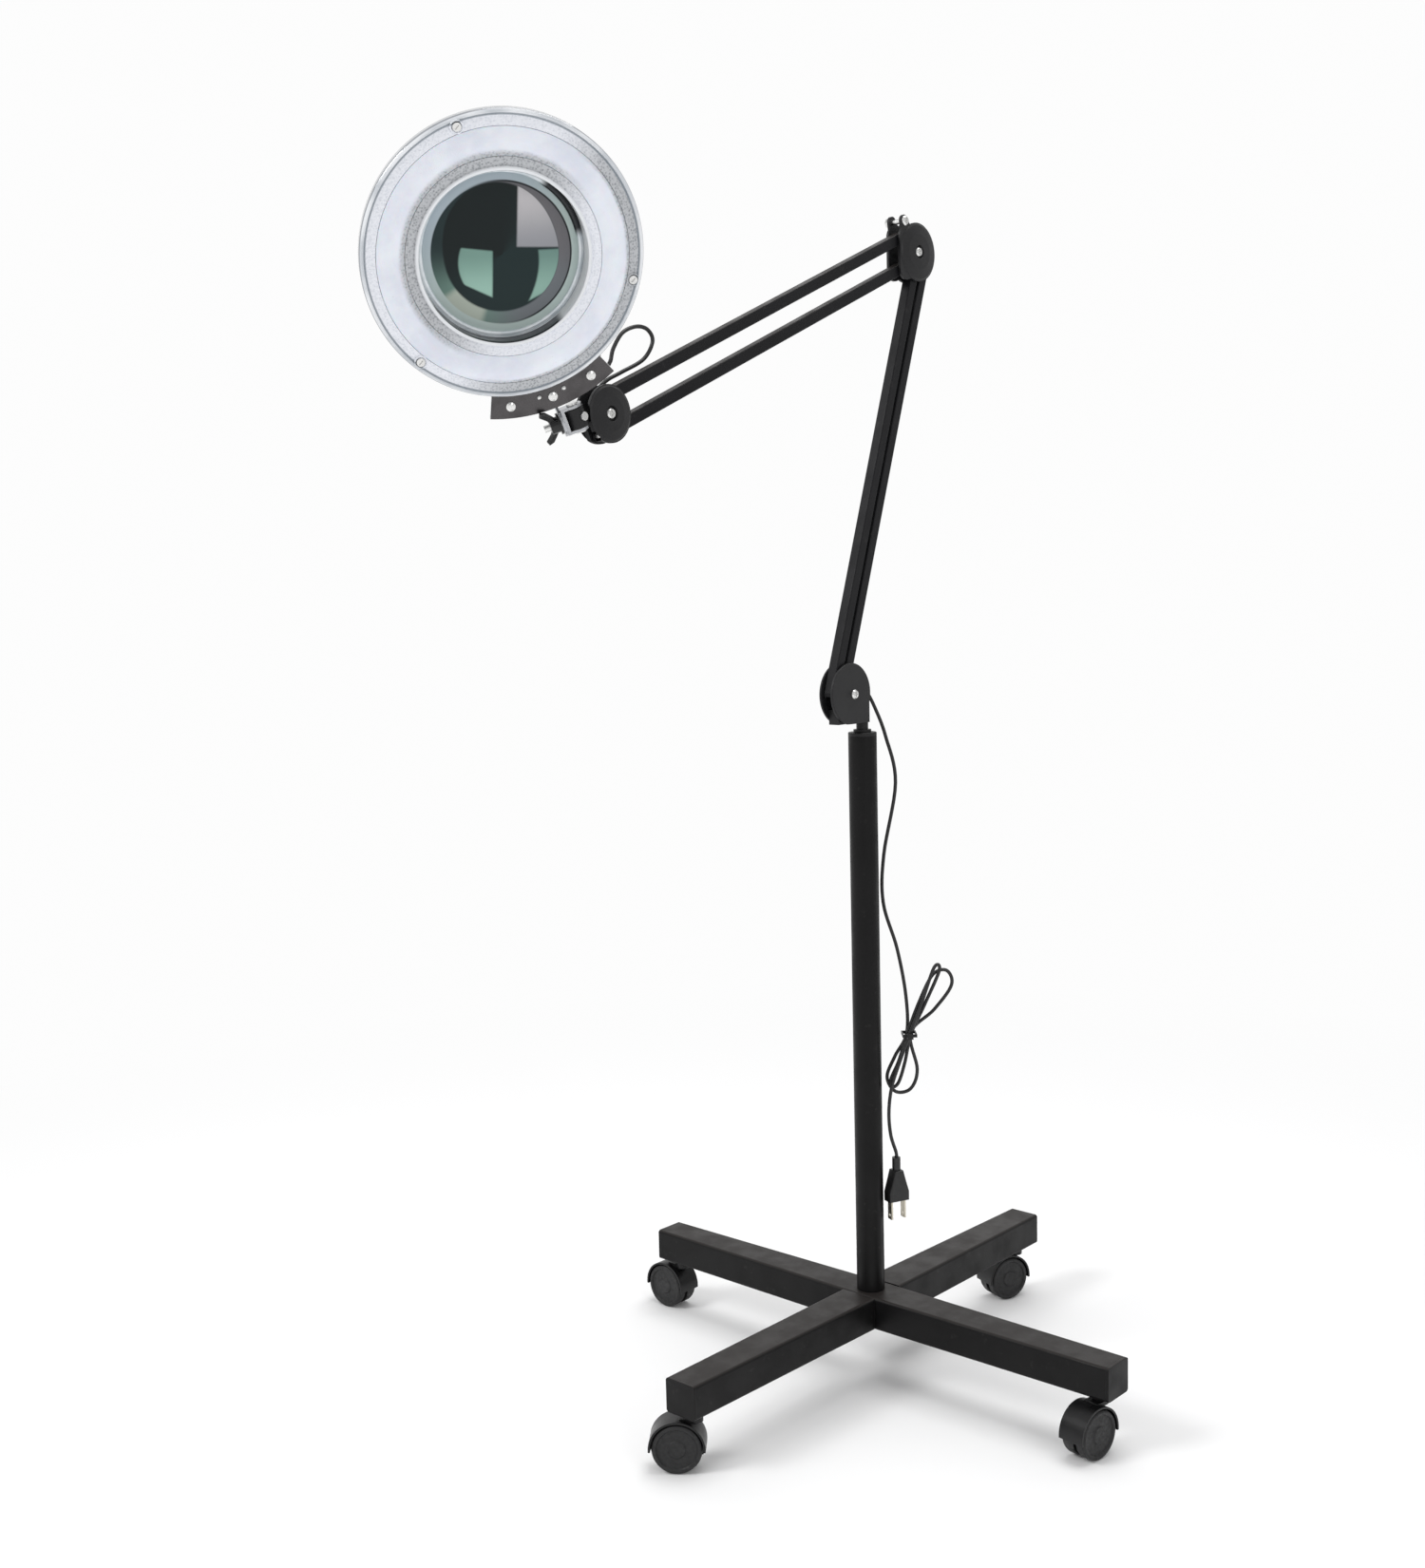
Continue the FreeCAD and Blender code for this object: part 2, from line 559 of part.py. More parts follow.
def yoke_parts():
    pieces = [box(WEB_OUT, WEB_IN, -FLANGE_OUT, FLANGE_OUT, -YOKE_HALF, YOKE_HALF)]
    for low in (FLANGE_IN, -FLANGE_OUT):
        pieces.append(box(WEB_OUT, 0, low, low + YOKE_THICK, -YOKE_HALF, YOKE_HALF))
        pieces.append(along_local_y(low, low + YOKE_THICK, YOKE_HALF + 1.5))
    yoke = cut(fuse(pieces), [along_local_y(-20, 20, SWIVEL_PIN_R + 0.02),
                              along_local_x(WEB_OUT - 2, WEB_IN + 2, 0, 0, STUD_R + 0.02)])
    save("tilt_yoke", placed(yoke, YOKE_FRAME))
    pin = along_local_y(-FLANGE_OUT - 0.05, FLANGE_OUT + 0.05, SWIVEL_PIN_R)
    pin = fuse([pin, along_local_y(FLANGE_OUT + 0.05, FLANGE_OUT + 1.35, 4.2),
                along_local_y(-FLANGE_OUT - 1.35, -FLANGE_OUT - 0.05, 4.2)])
    save("swivel_pin", placed(pin, YOKE_FRAME))
    save("tilt_stud", placed(along_local_x(STUD_END, WEB_IN, 0, 0, STUD_R), YOKE_FRAME))


def wing_nut():
    """Moulded wing nut: round hub with a collar and two swept wings."""
    hub = along_local_x(NUT_START - 7.5, NUT_START, 0, 0, 5.6)
    collar = along_local_x(NUT_START - 1.5, NUT_START, 0, 0, 7.6)
    pieces = [hub, collar]
    for side in (1, -1):
        outline = [V(NUT_START - 1.5, side * 4.0, -1.6), V(NUT_START - 4.0, side * 9.0, -1.6),
                   V(NUT_START - 8.0, side * 15.0, -1.6), V(NUT_START - 12.0, side * 16.5, -1.6),
                   V(NUT_START - 13.0, side * 13.0, -1.6), V(NUT_START - 9.0, side * 8.0, -1.6),
                   V(NUT_START - 7.0, side * 4.0, -1.6)]
        wing = prism(outline, V(0, 0, 3.2))
        wing = wing.makeFillet(1.2, [e for e in wing.Edges if abs(e.CenterOfMass.z) > 1.5])
        pieces.append(wing)
    nut = fuse(pieces).cut(along_local_x(NUT_START - 30, NUT_START + 2, 0, 0, STUD_R + RUN))
    nut.rotate(V(0, 0, 0), X, 35)
    save("wing_nut", placed(nut, YOKE_FRAME))


# ---- head ---------------------------------------------------------------------------------------
# Local frame: origin on the head's axis, +X to the viewer's right, +Y away from the tilt joint,
# +Z out of the lit face.

FLOOR = HEAD_BACK + WALL
TUNNEL_IN = LENS_R + 1.2
TUNNEL_OUT = LENS_R + 3.0
PAN_TOP = 3.5
SEAT_TOP = HEAD_BACK + 5.0
LENS_REST = SEAT_TOP + 0.35
LENS_EDGE = 1.5             # half the lens's thickness at its rim
LENS_CROWN = 4.5
SWITCH_PIN = HEAD_BACK + 2.6   # height of the switch's pivot
ROCKER_HALF = 5.2             # half the length of the switch rocker
COVER_FLOOR = HEAD_FRONT - 4.2
BOARD_TOP = 0.0
BOARD_THICK = 1.6
PAN_PROFILE = [(84.0, HEAD_BACK), (88.5, HEAD_BACK + 1.8), (90.8, HEAD_BACK + 6.0), (91.5, PAN_TOP)]


def polar(radius, degrees, z=0.0):
    a = math.radians(degrees)
    return V(radius * math.cos(a), radius * math.sin(a), z)


def sector(r0, r1, spread, z0, z1):
    """Flat piece of a ring below the head, between two radii."""
    low, high = -90 - spread, -90 + spread
    outer = Part.Arc(polar(r1, low, z0), polar(r1, -90, z0), polar(r1, high, z0)).toShape()
    inner = Part.Arc(polar(r0, high, z0), polar(r0, -90, z0), polar(r0, low, z0)).toShape()
    side_a = Part.makeLine(polar(r1, high, z0), polar(r0, high, z0))
    side_b = Part.makeLine(polar(r0, low, z0), polar(r1, low, z0))
    return Part.Face(Part.Wire([outer, side_a, inner, side_b])).extrude(V(0, 0, z1 - z0))


def lug_holes():
    """Holes for the three large and the two small rivets."""
    large = [rod(polar(RIVET_RING, -90 + s * RIVET_SPREAD, -20), Z, 20, 1.6) for s in (-1, 0, 1)]
    small = [rod(polar(RIVET_RING - 2.5, -90 + s * 5.0, -20), Z, 20, 1.1) for s in (-1, 1)]
    return large + small


def rear_shell():
    """Ring-shaped pan: outer wall, floor and lens tunnel in one, with the mounting lug below."""
    inside = [(89.5, PAN_TOP), (88.8, HEAD_BACK + 6.8), (86.8, HEAD_BACK + 3.4), (83.4, FLOOR)]
    tunnel = [(TUNNEL_OUT, FLOOR), (TUNNEL_OUT, PAN_TOP), (TUNNEL_IN, PAN_TOP), (TUNNEL_IN, SEAT_TOP),
              (LENS_R - 1.5, SEAT_TOP), (LENS_R - 1.5, HEAD_BACK)]
    shell = revolve(PAN_PROFILE + inside + tunnel)
    filled = revolve(PAN_PROFILE + [(91.5, COVER_FLOOR - 0.1), (0, COVER_FLOOR - 0.1), (0, HEAD_BACK)])
    pieces = [shell, sector(86.0, LUG_R, LUG_SPREAD, HEAD_BACK, HEAD_BACK + 2.5)]
    for angle in COVER_SCREW_ANGLES:
        post = rod(polar(COVER_SCREW_RING, angle, HEAD_BACK), Z, 40, 3.2)
        pieces.append(post.common(filled))
    for angle in BOARD_POST_ANGLES:
        pieces.append(rod(polar(73.0, angle, FLOOR - 0.5), Z, BOARD_TOP - BOARD_THICK - FLOOR + 0.45, 3.0))
    x, y = SWITCH_AT
    for y0 in (y - 6.4, y + 4.6):
        pieces.append(box(x - 2.5, x + 2.5, y0, y0 + 1.8, FLOOR - 0.5, HEAD_BACK + 4.6))
    holes = [box(x - 6.6, x + 6.6, y - 4.6, y + 4.6, -20, -8),
             along_y(x, SWITCH_PIN, y - 6.0, y + 6.0, 0.85),
             rod(V(*GLAND_AT, HEAD_BACK - 2), Z, 8, CABLE_R + 0.3)]
    for angle in COVER_SCREW_ANGLES:
        holes.append(rod(polar(COVER_SCREW_RING, angle, 2.0), Z, 40, 1.52))
    return cut(fuse(pieces), holes + lug_holes())


def bracket_plate():
    plate = sector(94.0, LUG_R, LUG_SPREAD, HEAD_BACK + 2.5, HEAD_BACK + 4.0)
    return cut(plate, lug_holes())


def rivet(radius, degrees, shank_r, head_r, back):
    shank = rod(polar(radius, degrees, back), Z, HEAD_BACK + 4.0 - back + 0.05, shank_r)
    head = revolve([(0, 0), (head_r, 0), (head_r * 0.9, 0.8), (head_r * 0.5, 1.5), (0, 1.7)])
    head.translate(polar(radius, degrees, HEAD_BACK + 4.04))
    return shank.fuse(head).removeSplitter()


def rivets():
    found = [rivet(RIVET_RING, -90 + s * RIVET_SPREAD, 1.55, 3.6, HEAD_BACK) for s in (-1, 1)]
    found.append(rivet(RIVET_RING, -90, 1.55, 3.6, HEAD_BACK - EAR_THICK))
    found += [rivet(RIVET_RING - 2.5, -90 + s * 5.0, 1.05, 1.7, HEAD_BACK - EAR_THICK) for s in (-1, 1)]
    return Part.makeCompound(found)


def tilt_ear():
    """Bent strap: a flange flat on the back of the lug, and an ear across the tilt axis."""
    half = EAR_THICK / 2
    back = HEAD_BACK - 0.05
    flange = box(-13, 13, -113, -97, back - EAR_THICK, back)
    web = box(-half, half, -TILT_DROP, -99, TILT_BACK - EAR_R, back - 0.5)
    ear = Part.makeCylinder(EAR_R, EAR_THICK, V(-half, -TILT_DROP, TILT_BACK), X)
    pivot = Part.makeCylinder(STUD_R + RUN, 10, V(-5, -TILT_DROP, TILT_BACK), X)
    return cut(fuse([flange, web, ear]), lug_holes() + [pivot])


def lens():
    """Biconvex glass disc resting on the tunnel's seat."""
    middle = LENS_REST + LENS_EDGE
    half = LENS_EDGE + LENS_CROWN
    sag_r = (LENS_R ** 2 + LENS_CROWN ** 2) / (2 * LENS_CROWN)
    disc = rod(V(0, 0, middle - half), Z, 2 * half, LENS_R)
    front = Part.makeSphere(sag_r, V(0, 0, middle + half - sag_r))
    rear = Part.makeSphere(sag_r, V(0, 0, middle - half + sag_r))
    return disc.common(front).common(rear)


def lens_ring():
    """Snap ring that holds the lens down in the tunnel."""
    low = LENS_REST + 2 * LENS_EDGE + 0.45
    wall = TUNNEL_IN - 0.02
    return revolve([(LENS_R - 2.4, low), (wall, low), (wall, low + 1.4), (LENS_R - 1.4, low + 1.4)])


def front_cover():
    """Annular cover: inner collar, open web behind the diffuser, screw pads and a stepped rim."""
    f = HEAD_FRONT
    inner = revolve([(TUNNEL_IN, PAN_TOP + 0.1), (TUNNEL_IN, f - 1.0), (OPEN_R, f), (OPEN_R + 1.6, f),
                     (OPEN_R + 2.6, f - 1.2), (64.2, f - 0.6), (64.2, f - 2.6), (58.6, f - 2.8),
                     (58.6, PAN_TOP + 0.1)])
    outer = revolve([(82.8, f - 0.6), (84.0, f), (89.5, f), (90.2, f - 0.8), (91.0, f - 0.8),
                     (HEAD_R - 0.8, f - 1.8), (HEAD_R, f - 3.2), (HEAD_R, 0.5), (91.7, 0.5), (91.7, 3.7),
                     (91.0, f - 3.2), (82.8, f - 2.6)])
    web = revolve([(60.0, COVER_FLOOR), (87.0, COVER_FLOOR), (87.0, f - 2.6), (60.0, f - 2.6)])
    window = revolve([(66.0, 0.0), (81.0, 0.0), (81.0, 20.0), (66.0, 20.0)])
    for i in range(6):
        spoke = box(60.0, 87.0, -2.0, 2.0, -1.0, 21.0)
        spoke.rotate(V(0, 0, 0), Z, 60.0 * i)
        window = window.cut(spoke)
    cover = fuse([inner, outer, web.cut(window)])
    for angle in COVER_SCREW_ANGLES:
        cover = cover.fuse(rod(polar(COVER_SCREW_RING, angle, COVER_FLOOR), Z, 4.6, 4.4))
    for angle in COVER_SCREW_ANGLES:
        cover = cover.cut(rod(polar(COVER_SCREW_RING, angle, -20), Z, 40, 1.55))
        cover = cover.cut(rod(polar(COVER_SCREW_RING, angle, f - 1.0), Z, 4.0, 3.2))
    return cover.removeSplitter()


def cover_screw(angle):
    seat = HEAD_FRONT - 0.95
    place = polar(COVER_SCREW_RING, angle, seat)
    shank = rod(polar(COVER_SCREW_RING, angle, 2.2), Z, seat - 2.2, 1.5)
    slot = placed(box(-1.8, 1.8, -0.35, 0.35, 0.8, 3), FreeCAD.Placement(place, FreeCAD.Rotation(Z, 30)))
    return shank.fuse(rod(place, Z, 1.7, 2.8)).removeSplitter().cut(slot)


def diffuser():
    f = HEAD_FRONT
    return revolve([(64.5, f - 2.5), (82.5, f - 2.5), (82.5, f - 0.2), (80.5, f + 0.9), (76.0, f + 1.7),
                    (73.5, f + 1.9), (71.0, f + 1.7), (66.5, f + 0.9), (64.5, f - 0.2)])


def led_board():
    """Ring-shaped board with two staggered rows of square chips."""
    low = BOARD_TOP - BOARD_THICK
    board = revolve([(62.0, low), (83.0, low), (83.0, BOARD_TOP), (62.0, BOARD_TOP)])
    chips = []
    count = 30
    for i in range(count):
        for radius, shift in ((68.5, 0.0), (78.5, 0.5)):
            chip = box(-1.4, 1.4, -1.4, 1.4, 0.02, 0.9)
            angle = 360.0 * (i + shift) / count
            chips.append(placed(chip, FreeCAD.Placement(polar(radius, angle), FreeCAD.Rotation(Z, angle))))
    return Part.makeCompound([board] + chips)


def switch_rocker():
    """Rocker with one end pressed in, on a pin that crosses it in the head's Y direction."""
    x, y = SWITCH_AT
    side = y - 3.8
    outline = [V(x - ROCKER_HALF, side, HEAD_BACK + 1.0), V(x - ROCKER_HALF, side, HEAD_BACK - 0.4),
               V(x, side, HEAD_BACK - 0.9), V(x + ROCKER_HALF, side, HEAD_BACK - 1.9),
               V(x + ROCKER_HALF, side, HEAD_BACK + 1.0), V(x, side, HEAD_BACK + 4.2)]
    rocker = prism(outline, V(0, 7.6, 0))
    return rocker.fuse(along_y(x, SWITCH_PIN, y - 5.9, y + 5.9, 0.8)).removeSplitter()


def head_parts():
    for node, shape in (("rear_shell", rear_shell()), ("bracket_plate", bracket_plate()),
                        ("bracket_rivets", rivets()), ("tilt_ear", tilt_ear()), ("lens", lens()),
                        ("lens_ring", lens_ring()), ("front_cover", front_cover()),
                        ("diffuser_ring", diffuser()), ("led_board", led_board()),
                        ("switch_rocker", switch_rocker()),
                        ("cover_screws", Part.makeCompound([cover_screw(a) for a in COVER_SCREW_ANGLES]))):
        save(node, placed(shape, HEAD_FRAME))


# ---- cables -------------------------------------------------------------------------------------

def beside_pole(out, side, z):
    """Point beside the pole: out along the hanging cable's direction, side across it."""
    a = math.radians(CABLE_SIDE)
    return V(out * math.cos(a) - side * math.sin(a), out * math.sin(a) + side * math.cos(a), z)


# the cord leaves the lower joint, swings out from the pole and back, and runs to the tie
DROP = [(27.5, 3.0, 516), (16.8, 3.0, 455), (15.8, 3.6, 414), (27, 4.0, 374), (34, 4.0, 333),
        (34.3, 4.0, 300)]
# then it folds four times through the tie: two wide loops and two narrow ones
WIDE_LOW = [(24, 4.0, 280), (17, 4.0, 262), (24, 4.0, 249), (37, 4.0, 251), (43, 4.0, 268)]
WIDE_HIGH = [(37.7, 4.0, 300), (58, 4.0, 320), (73, 3.6, 341), (69, 2.6, 354), (57, 1.6, 351),
             (45, 0.6, 328)]
NARROW_LOW = [(34.3, 0.4, 300), (27, 0.4, 277), (20, 0.4, 261), (21, 0.4, 254), (26.5, 0.4, 258),
              (32, 0.4, 275)]
NARROW_HIGH = [(37.7, 0.4, 300), (49, -1.2, 325), (62, -2.2, 355), (57.5, -3.2, 358), (46, -3.4, 326)]
TAIL = [(36.0, -3.3, 300), (27, -3.3, 276), (20, -3.3, 254), (17.5, -3.0, 232), (19, -2.0, 212),
        (PLUG_OUT, 0.0, PLUG_TOP + 4), (PLUG_OUT, 0.0, PLUG_TOP - 3), (PLUG_OUT, 0.0, PLUG_TOP - 10)]


def mains_cable():
    start = [V(0, -9, 603), V(0, -2, 601.5), V(1, 5, 594), V(5, 11, 580), V(12, 16, 556)]
    folds = DROP + WIDE_LOW + WIDE_HIGH + NARROW_LOW + NARROW_HIGH + TAIL
    return pipe(start + [beside_pole(*p) for p in folds], CABLE_R)


def cable_tie():
    """Strap round the folded cord, with its square head."""
    out, z = TIE_AT
    strap = box(-6.2, 6.2, -7.0, 7.8, -1.3, 1.3).cut(box(-5.2, 5.2, -6.0, 6.8, -2, 2))
    head = box(-2.6, 2.6, -10.6, -6.5, -2.2, 2.2)
    tie = strap.fuse(head).removeSplitter()
    tie.rotate(V(0, 0, 0), Z, CABLE_SIDE)
    tie.translate(beside_pole(out, 0, z))
    return tie


def plug_frame():
    a = math.radians(CABLE_SIDE + PLUG_TURN)
    return axes_placement(beside_pole(PLUG_OUT, 0, PLUG_TOP), V(math.cos(a), math.sin(a), 0),
                          V(-math.sin(a), math.cos(a), 0), Z)


def plug_body():
    """Moulded plug: neck, shoulders and a deeper front end."""
    outline = [V(-4, -6, -11), V(4, -6, -11), V(6.5, -6, -20), V(9.5, -6, -30), V(9.5, -6, -38),
               V(-9.5, -6, -38), V(-9.5, -6, -30), V(-6.5, -6, -20)]
    body = prism(outline, V(0, 12, 0))
    body = body.makeFillet(1.5, [e for e in body.Edges if abs(abs(e.CenterOfMass.y) - 6) < 0.01])
    neck = rod(V(0, 0, -14), Z, 14, 3.6)
    bore = rod(V(0, 0, -12), Z, 20, CABLE_R + 0.3)
    slots = [box(x - 0.8, x + 0.8, -3.2, 3.2, -40, -33) for x in (-6.35, 6.35)]
    return cut(body.fuse(neck).removeSplitter(), [bore] + slots)


def plug_blades():
    blades = []
    for x in (-6.35, 6.35):
        blade = box(x - 0.75, x + 0.75, -3.15, 3.15, -54, -33)
        blades.append(blade.cut(Part.makeCylinder(1.6, 4, V(x - 2, 0, -50.5), X)))
    return Part.makeCompound(blades)


def head_cable():
    """Short loop from the head's back down to the far side of the wrist joint."""
    x, y = GLAND_AT
    leaving = [HEAD_FRAME.multVec(V(x, y, HEAD_BACK + h)) for h in (1.0, -5.0, -12.0)]
    loop = [V(-6, -286, 843), V(-7, -277, 846), V(-7, -273, 856), V(-7, -263, 868), V(-7.5, -248, 873.5),
            V(-8, -236, 872), V(-8.5, -231, 864), V(-9.5, -240, 851), V(-10.5, -262, 840.5),
            V(-11.5, -276, 834), V(-12.8, -287, 825), V(-12.4, -290.6, 819), V(-10.6, -291.3, 816.8)]
    return pipe(leaving + loop, CABLE_R)


def cable_parts():
    save("mains_cable", mains_cable())
    save("cable_tie", cable_tie())
    save("plug_body", placed(plug_body(), plug_frame()))
    save("plug_blades", placed(plug_blades(), plug_frame()))
    save("head_cable", head_cable())


base_parts()
pole_parts()
caster_parts()
lower_joint_parts()
elbow_parts()
wrist_parts()
bars()
yoke_parts()
wing_nut()
head_parts()
cable_parts()
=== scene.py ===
import json
import math

import bmesh
import bpy
from mathutils import Matrix, Vector


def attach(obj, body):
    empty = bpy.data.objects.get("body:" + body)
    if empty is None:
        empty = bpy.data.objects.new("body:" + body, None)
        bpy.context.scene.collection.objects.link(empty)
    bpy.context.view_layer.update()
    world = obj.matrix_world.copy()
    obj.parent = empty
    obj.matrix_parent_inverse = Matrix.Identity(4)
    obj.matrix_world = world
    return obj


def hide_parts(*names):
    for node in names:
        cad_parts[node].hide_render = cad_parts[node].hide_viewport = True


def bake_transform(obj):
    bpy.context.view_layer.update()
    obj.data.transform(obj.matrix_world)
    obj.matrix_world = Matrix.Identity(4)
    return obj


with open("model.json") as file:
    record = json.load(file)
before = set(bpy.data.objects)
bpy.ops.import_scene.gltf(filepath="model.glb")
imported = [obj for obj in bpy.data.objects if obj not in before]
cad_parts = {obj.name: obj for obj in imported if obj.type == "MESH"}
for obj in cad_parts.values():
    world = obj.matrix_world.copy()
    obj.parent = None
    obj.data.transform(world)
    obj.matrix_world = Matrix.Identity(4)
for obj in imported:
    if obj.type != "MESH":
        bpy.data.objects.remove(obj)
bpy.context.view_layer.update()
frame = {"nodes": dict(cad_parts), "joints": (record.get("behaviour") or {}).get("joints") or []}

# Magnifying lamp on a rolling cross base. Metres; the helpers below take millimetres where they say so.

MM = 0.001
NODES = frame["nodes"]
JOINTS = {j["name"]: j for j in frame["joints"]}

# ---- head frame, worked out from the tilt and swivel joints --------------------------------------

PITCH = math.radians(9.0)           # how far the head leans forward of the swivel axis
TILT_DROP = 127.0                   # tilt axis to the head's axis, mm
TILT_BACK = -12.0                   # the tilt axis lies this far behind the head's middle plane, mm
HEAD_R = 93.0                       # outer radius of the head, mm
HEAD_FRONT = 9.5                    # its front and back planes, mm from its middle plane
HEAD_BACK = -14.0
LENS_R = 54.0
HEAD_TURN = math.radians(-16.85)    # from the head's X axis to level, as the head stands at rest

TILT_AT = Vector(JOINTS["head_tilt"]["pos_m"])
TILT = Vector(JOINTS["head_tilt"]["axis"]).normalized()
SWIVEL = Vector(JOINTS["head_swivel"]["axis"]).normalized()
FACING = (-TILT).cross(SWIVEL)
HEAD_UP = SWIVEL * math.cos(PITCH) + FACING * math.sin(PITCH)
HEAD_AXIS = FACING * math.cos(PITCH) - SWIVEL * math.sin(PITCH)
HEAD_AT = TILT_AT + (HEAD_UP * TILT_DROP - HEAD_AXIS * TILT_BACK) * MM


def frame_matrix(origin, x_dir, y_dir, z_dir):
    """Matrix of a frame from its origin and its three directions."""
    rows = [[x_dir[i], y_dir[i], z_dir[i], origin[i]] for i in range(3)]
    return Matrix(rows + [[0, 0, 0, 1]])


HEAD = frame_matrix(HEAD_AT, -TILT, HEAD_UP, HEAD_AXIS)


# ---- materials ----------------------------------------------------------------------------------

class Shader:
    """Small wrapper that adds and links nodes of one material."""

    def __init__(self, name):
        self.material = bpy.data.materials.new(name)
        self.material.use_nodes = True
        self.tree = self.material.node_tree
        self.tree.nodes.clear()
        self.out = self.add("ShaderNodeOutputMaterial")
        self.coords = self.add("ShaderNodeTexCoord").outputs["Object"]

    def add(self, kind, **settings):
        node = self.tree.nodes.new(kind)
        for key, value in settings.items():
            setattr(node, key, value)
        return node

    def put(self, socket, value):
        """Link an output, or set a plain value."""
        if isinstance(value, bpy.types.NodeSocket):
            self.tree.links.new(value, socket)
        else:
            socket.default_value = value

    def noise(self, scale, detail=3.0, roughness=0.55, coords=None):
        """Cloudy noise from 0 to 1, with about this many lumps in a metre."""
        node = self.add("ShaderNodeTexNoise")
        self.put(node.inputs["Vector"], coords or self.coords)
        node.inputs["Scale"].default_value = scale
        node.inputs["Detail"].default_value = detail
        node.inputs["Roughness"].default_value = roughness
        return node.outputs["Fac"]

    def cells(self, scale):
        """Pebbled pattern, darkest at the middle of each pebble."""
        node = self.add("ShaderNodeTexVoronoi")
        self.put(node.inputs["Vector"], self.coords)
        node.inputs["Scale"].default_value = scale
        return node.outputs["Distance"]

    def spread(self, value, low, high, to_low=0.0, to_high=1.0, smooth=True):
        """Map a value from one range onto another, held at the ends."""
        node = self.add("ShaderNodeMapRange")
        node.interpolation_type = "SMOOTHSTEP" if smooth else "LINEAR"
        self.put(node.inputs["Value"], value)
        for key, number in (("From Min", low), ("From Max", high), ("To Min", to_low), ("To Max", to_high)):
            node.inputs[key].default_value = number
        return node.outputs["Result"]

    def maths(self, operation, a, b=0.0, c=0.0):
        node = self.add("ShaderNodeMath", operation=operation)
        for i, value in enumerate((a, b, c)):
            self.put(node.inputs[i], value)
        return node.outputs[0]

    def less(self, value):
        """One minus a mask."""
        return self.maths("SUBTRACT", 1.0, value)

    def mix(self, factor, a, b):
        node = self.add("ShaderNodeMix", data_type="RGBA")
        self.put(node.inputs["Factor"], factor)
        self.put(node.inputs["A"], (*a, 1.0) if isinstance(a, tuple) else a)
        self.put(node.inputs["B"], (*b, 1.0) if isinstance(b, tuple) else b)
        return node.outputs["Result"]

    def edge_mask(self, radius, low, high):
        """About 1 along outside edges, from how far a bevelled normal turns from the true one."""
        bevel = self.add("ShaderNodeBevel", samples=6)
        bevel.inputs["Radius"].default_value = radius
        plain = self.add("ShaderNodeNewGeometry").outputs["Normal"]
        dot = self.add("ShaderNodeVectorMath", operation="DOT_PRODUCT")
        self.put(dot.inputs[0], bevel.outputs["Normal"])
        self.put(dot.inputs[1], plain)
        return self.spread(self.maths("SUBTRACT", 1.0, dot.outputs["Value"]), low, high)

    def bump(self, height, strength, distance, rounding=0.0):
        """Normal for a relief, with edges rounded by a radius in metres if one is given."""
        node = self.add("ShaderNodeBump")
        self.put(node.inputs["Height"], height)
        node.inputs["Strength"].default_value = strength
        node.inputs["Distance"].default_value = distance
        if rounding:
            bevel = self.add("ShaderNodeBevel", samples=6)
            bevel.inputs["Radius"].default_value = rounding
            self.put(node.inputs["Normal"], bevel.outputs["Normal"])
        return node.outputs["Normal"]

    def surface(self, **inputs):
        """Surface shader; an input's name is written with _ for each space."""
        node = self.add("ShaderNodeBsdfPrincipled")
        for key, value in inputs.items():
            name = key.replace("_", " ")
            if isinstance(value, tuple) and len(value) == 3:
                value = (*value, 1.0)
            self.put(node.inputs[name], value)
        return node

    def finish(self, node):
        """Make a surface the material's output."""
        self.put(self.out.inputs["Surface"], node.outputs[0])
        return self.material


DUST = (0.10, 0.097, 0.092)
SETTLED_DUST_AND_TOP_SHEEN = (0.024, 0.0205, 0.019)       # thin brown film on faces that look up: settled dust, and a painted highlight along their tops


def scaled(color, factor, lift=0.0):
    """A colour made lighter or darker."""
    return tuple(c * factor + lift for c in color)


def powder_coat(name, color, peel=900.0, wear=0.35):
    """Satin black powder coat: fine orange peel, faint dust, paler worn edges, and upward faces lightened
    by settled dust and a painted highlight.
    """
    s = Shader(name)
    cloud = s.spread(s.noise(14.0, 4.0), 0.3, 0.7)
    dust = s.spread(s.noise(160.0, 2.0), 0.62, 0.8)
    base = s.mix(cloud, scaled(color, 0.8), scaled(color, 1.2))
    base = s.mix(s.maths("MULTIPLY", dust, 0.10), base, DUST)
    # upward faces lighter: settled dust, and a painted highlight along the tops
    facing = s.add("ShaderNodeSeparateXYZ")
    s.put(facing.inputs["Vector"], s.add("ShaderNodeNewGeometry").outputs["Normal"])
    base = s.mix(s.spread(facing.outputs["Z"], 0.3, 0.95, 0.0, 0.75), base, SETTLED_DUST_AND_TOP_SHEEN)
    edge = s.edge_mask(0.0012, 0.02, 0.22)
    broken = s.spread(s.noise(90.0, 3.0), 0.35, 0.65)
    worn = s.maths("MULTIPLY", s.maths("MULTIPLY", edge, broken), wear)
    base = s.mix(worn, base, scaled(color, 3.0, 0.01))
    rough = s.spread(s.noise(45.0, 3.0), 0.3, 0.7, 0.36, 0.52)
    relief = s.maths("ADD", s.noise(peel, 2.0), s.maths("MULTIPLY", s.noise(peel * 3.1, 1.0), 0.4))
    normal = s.bump(relief, 0.22, 0.00025, 0.0008)
    return s.finish(s.surface(Base_Color=base, Roughness=rough, Specular_IOR_Level=0.17, Normal=normal))


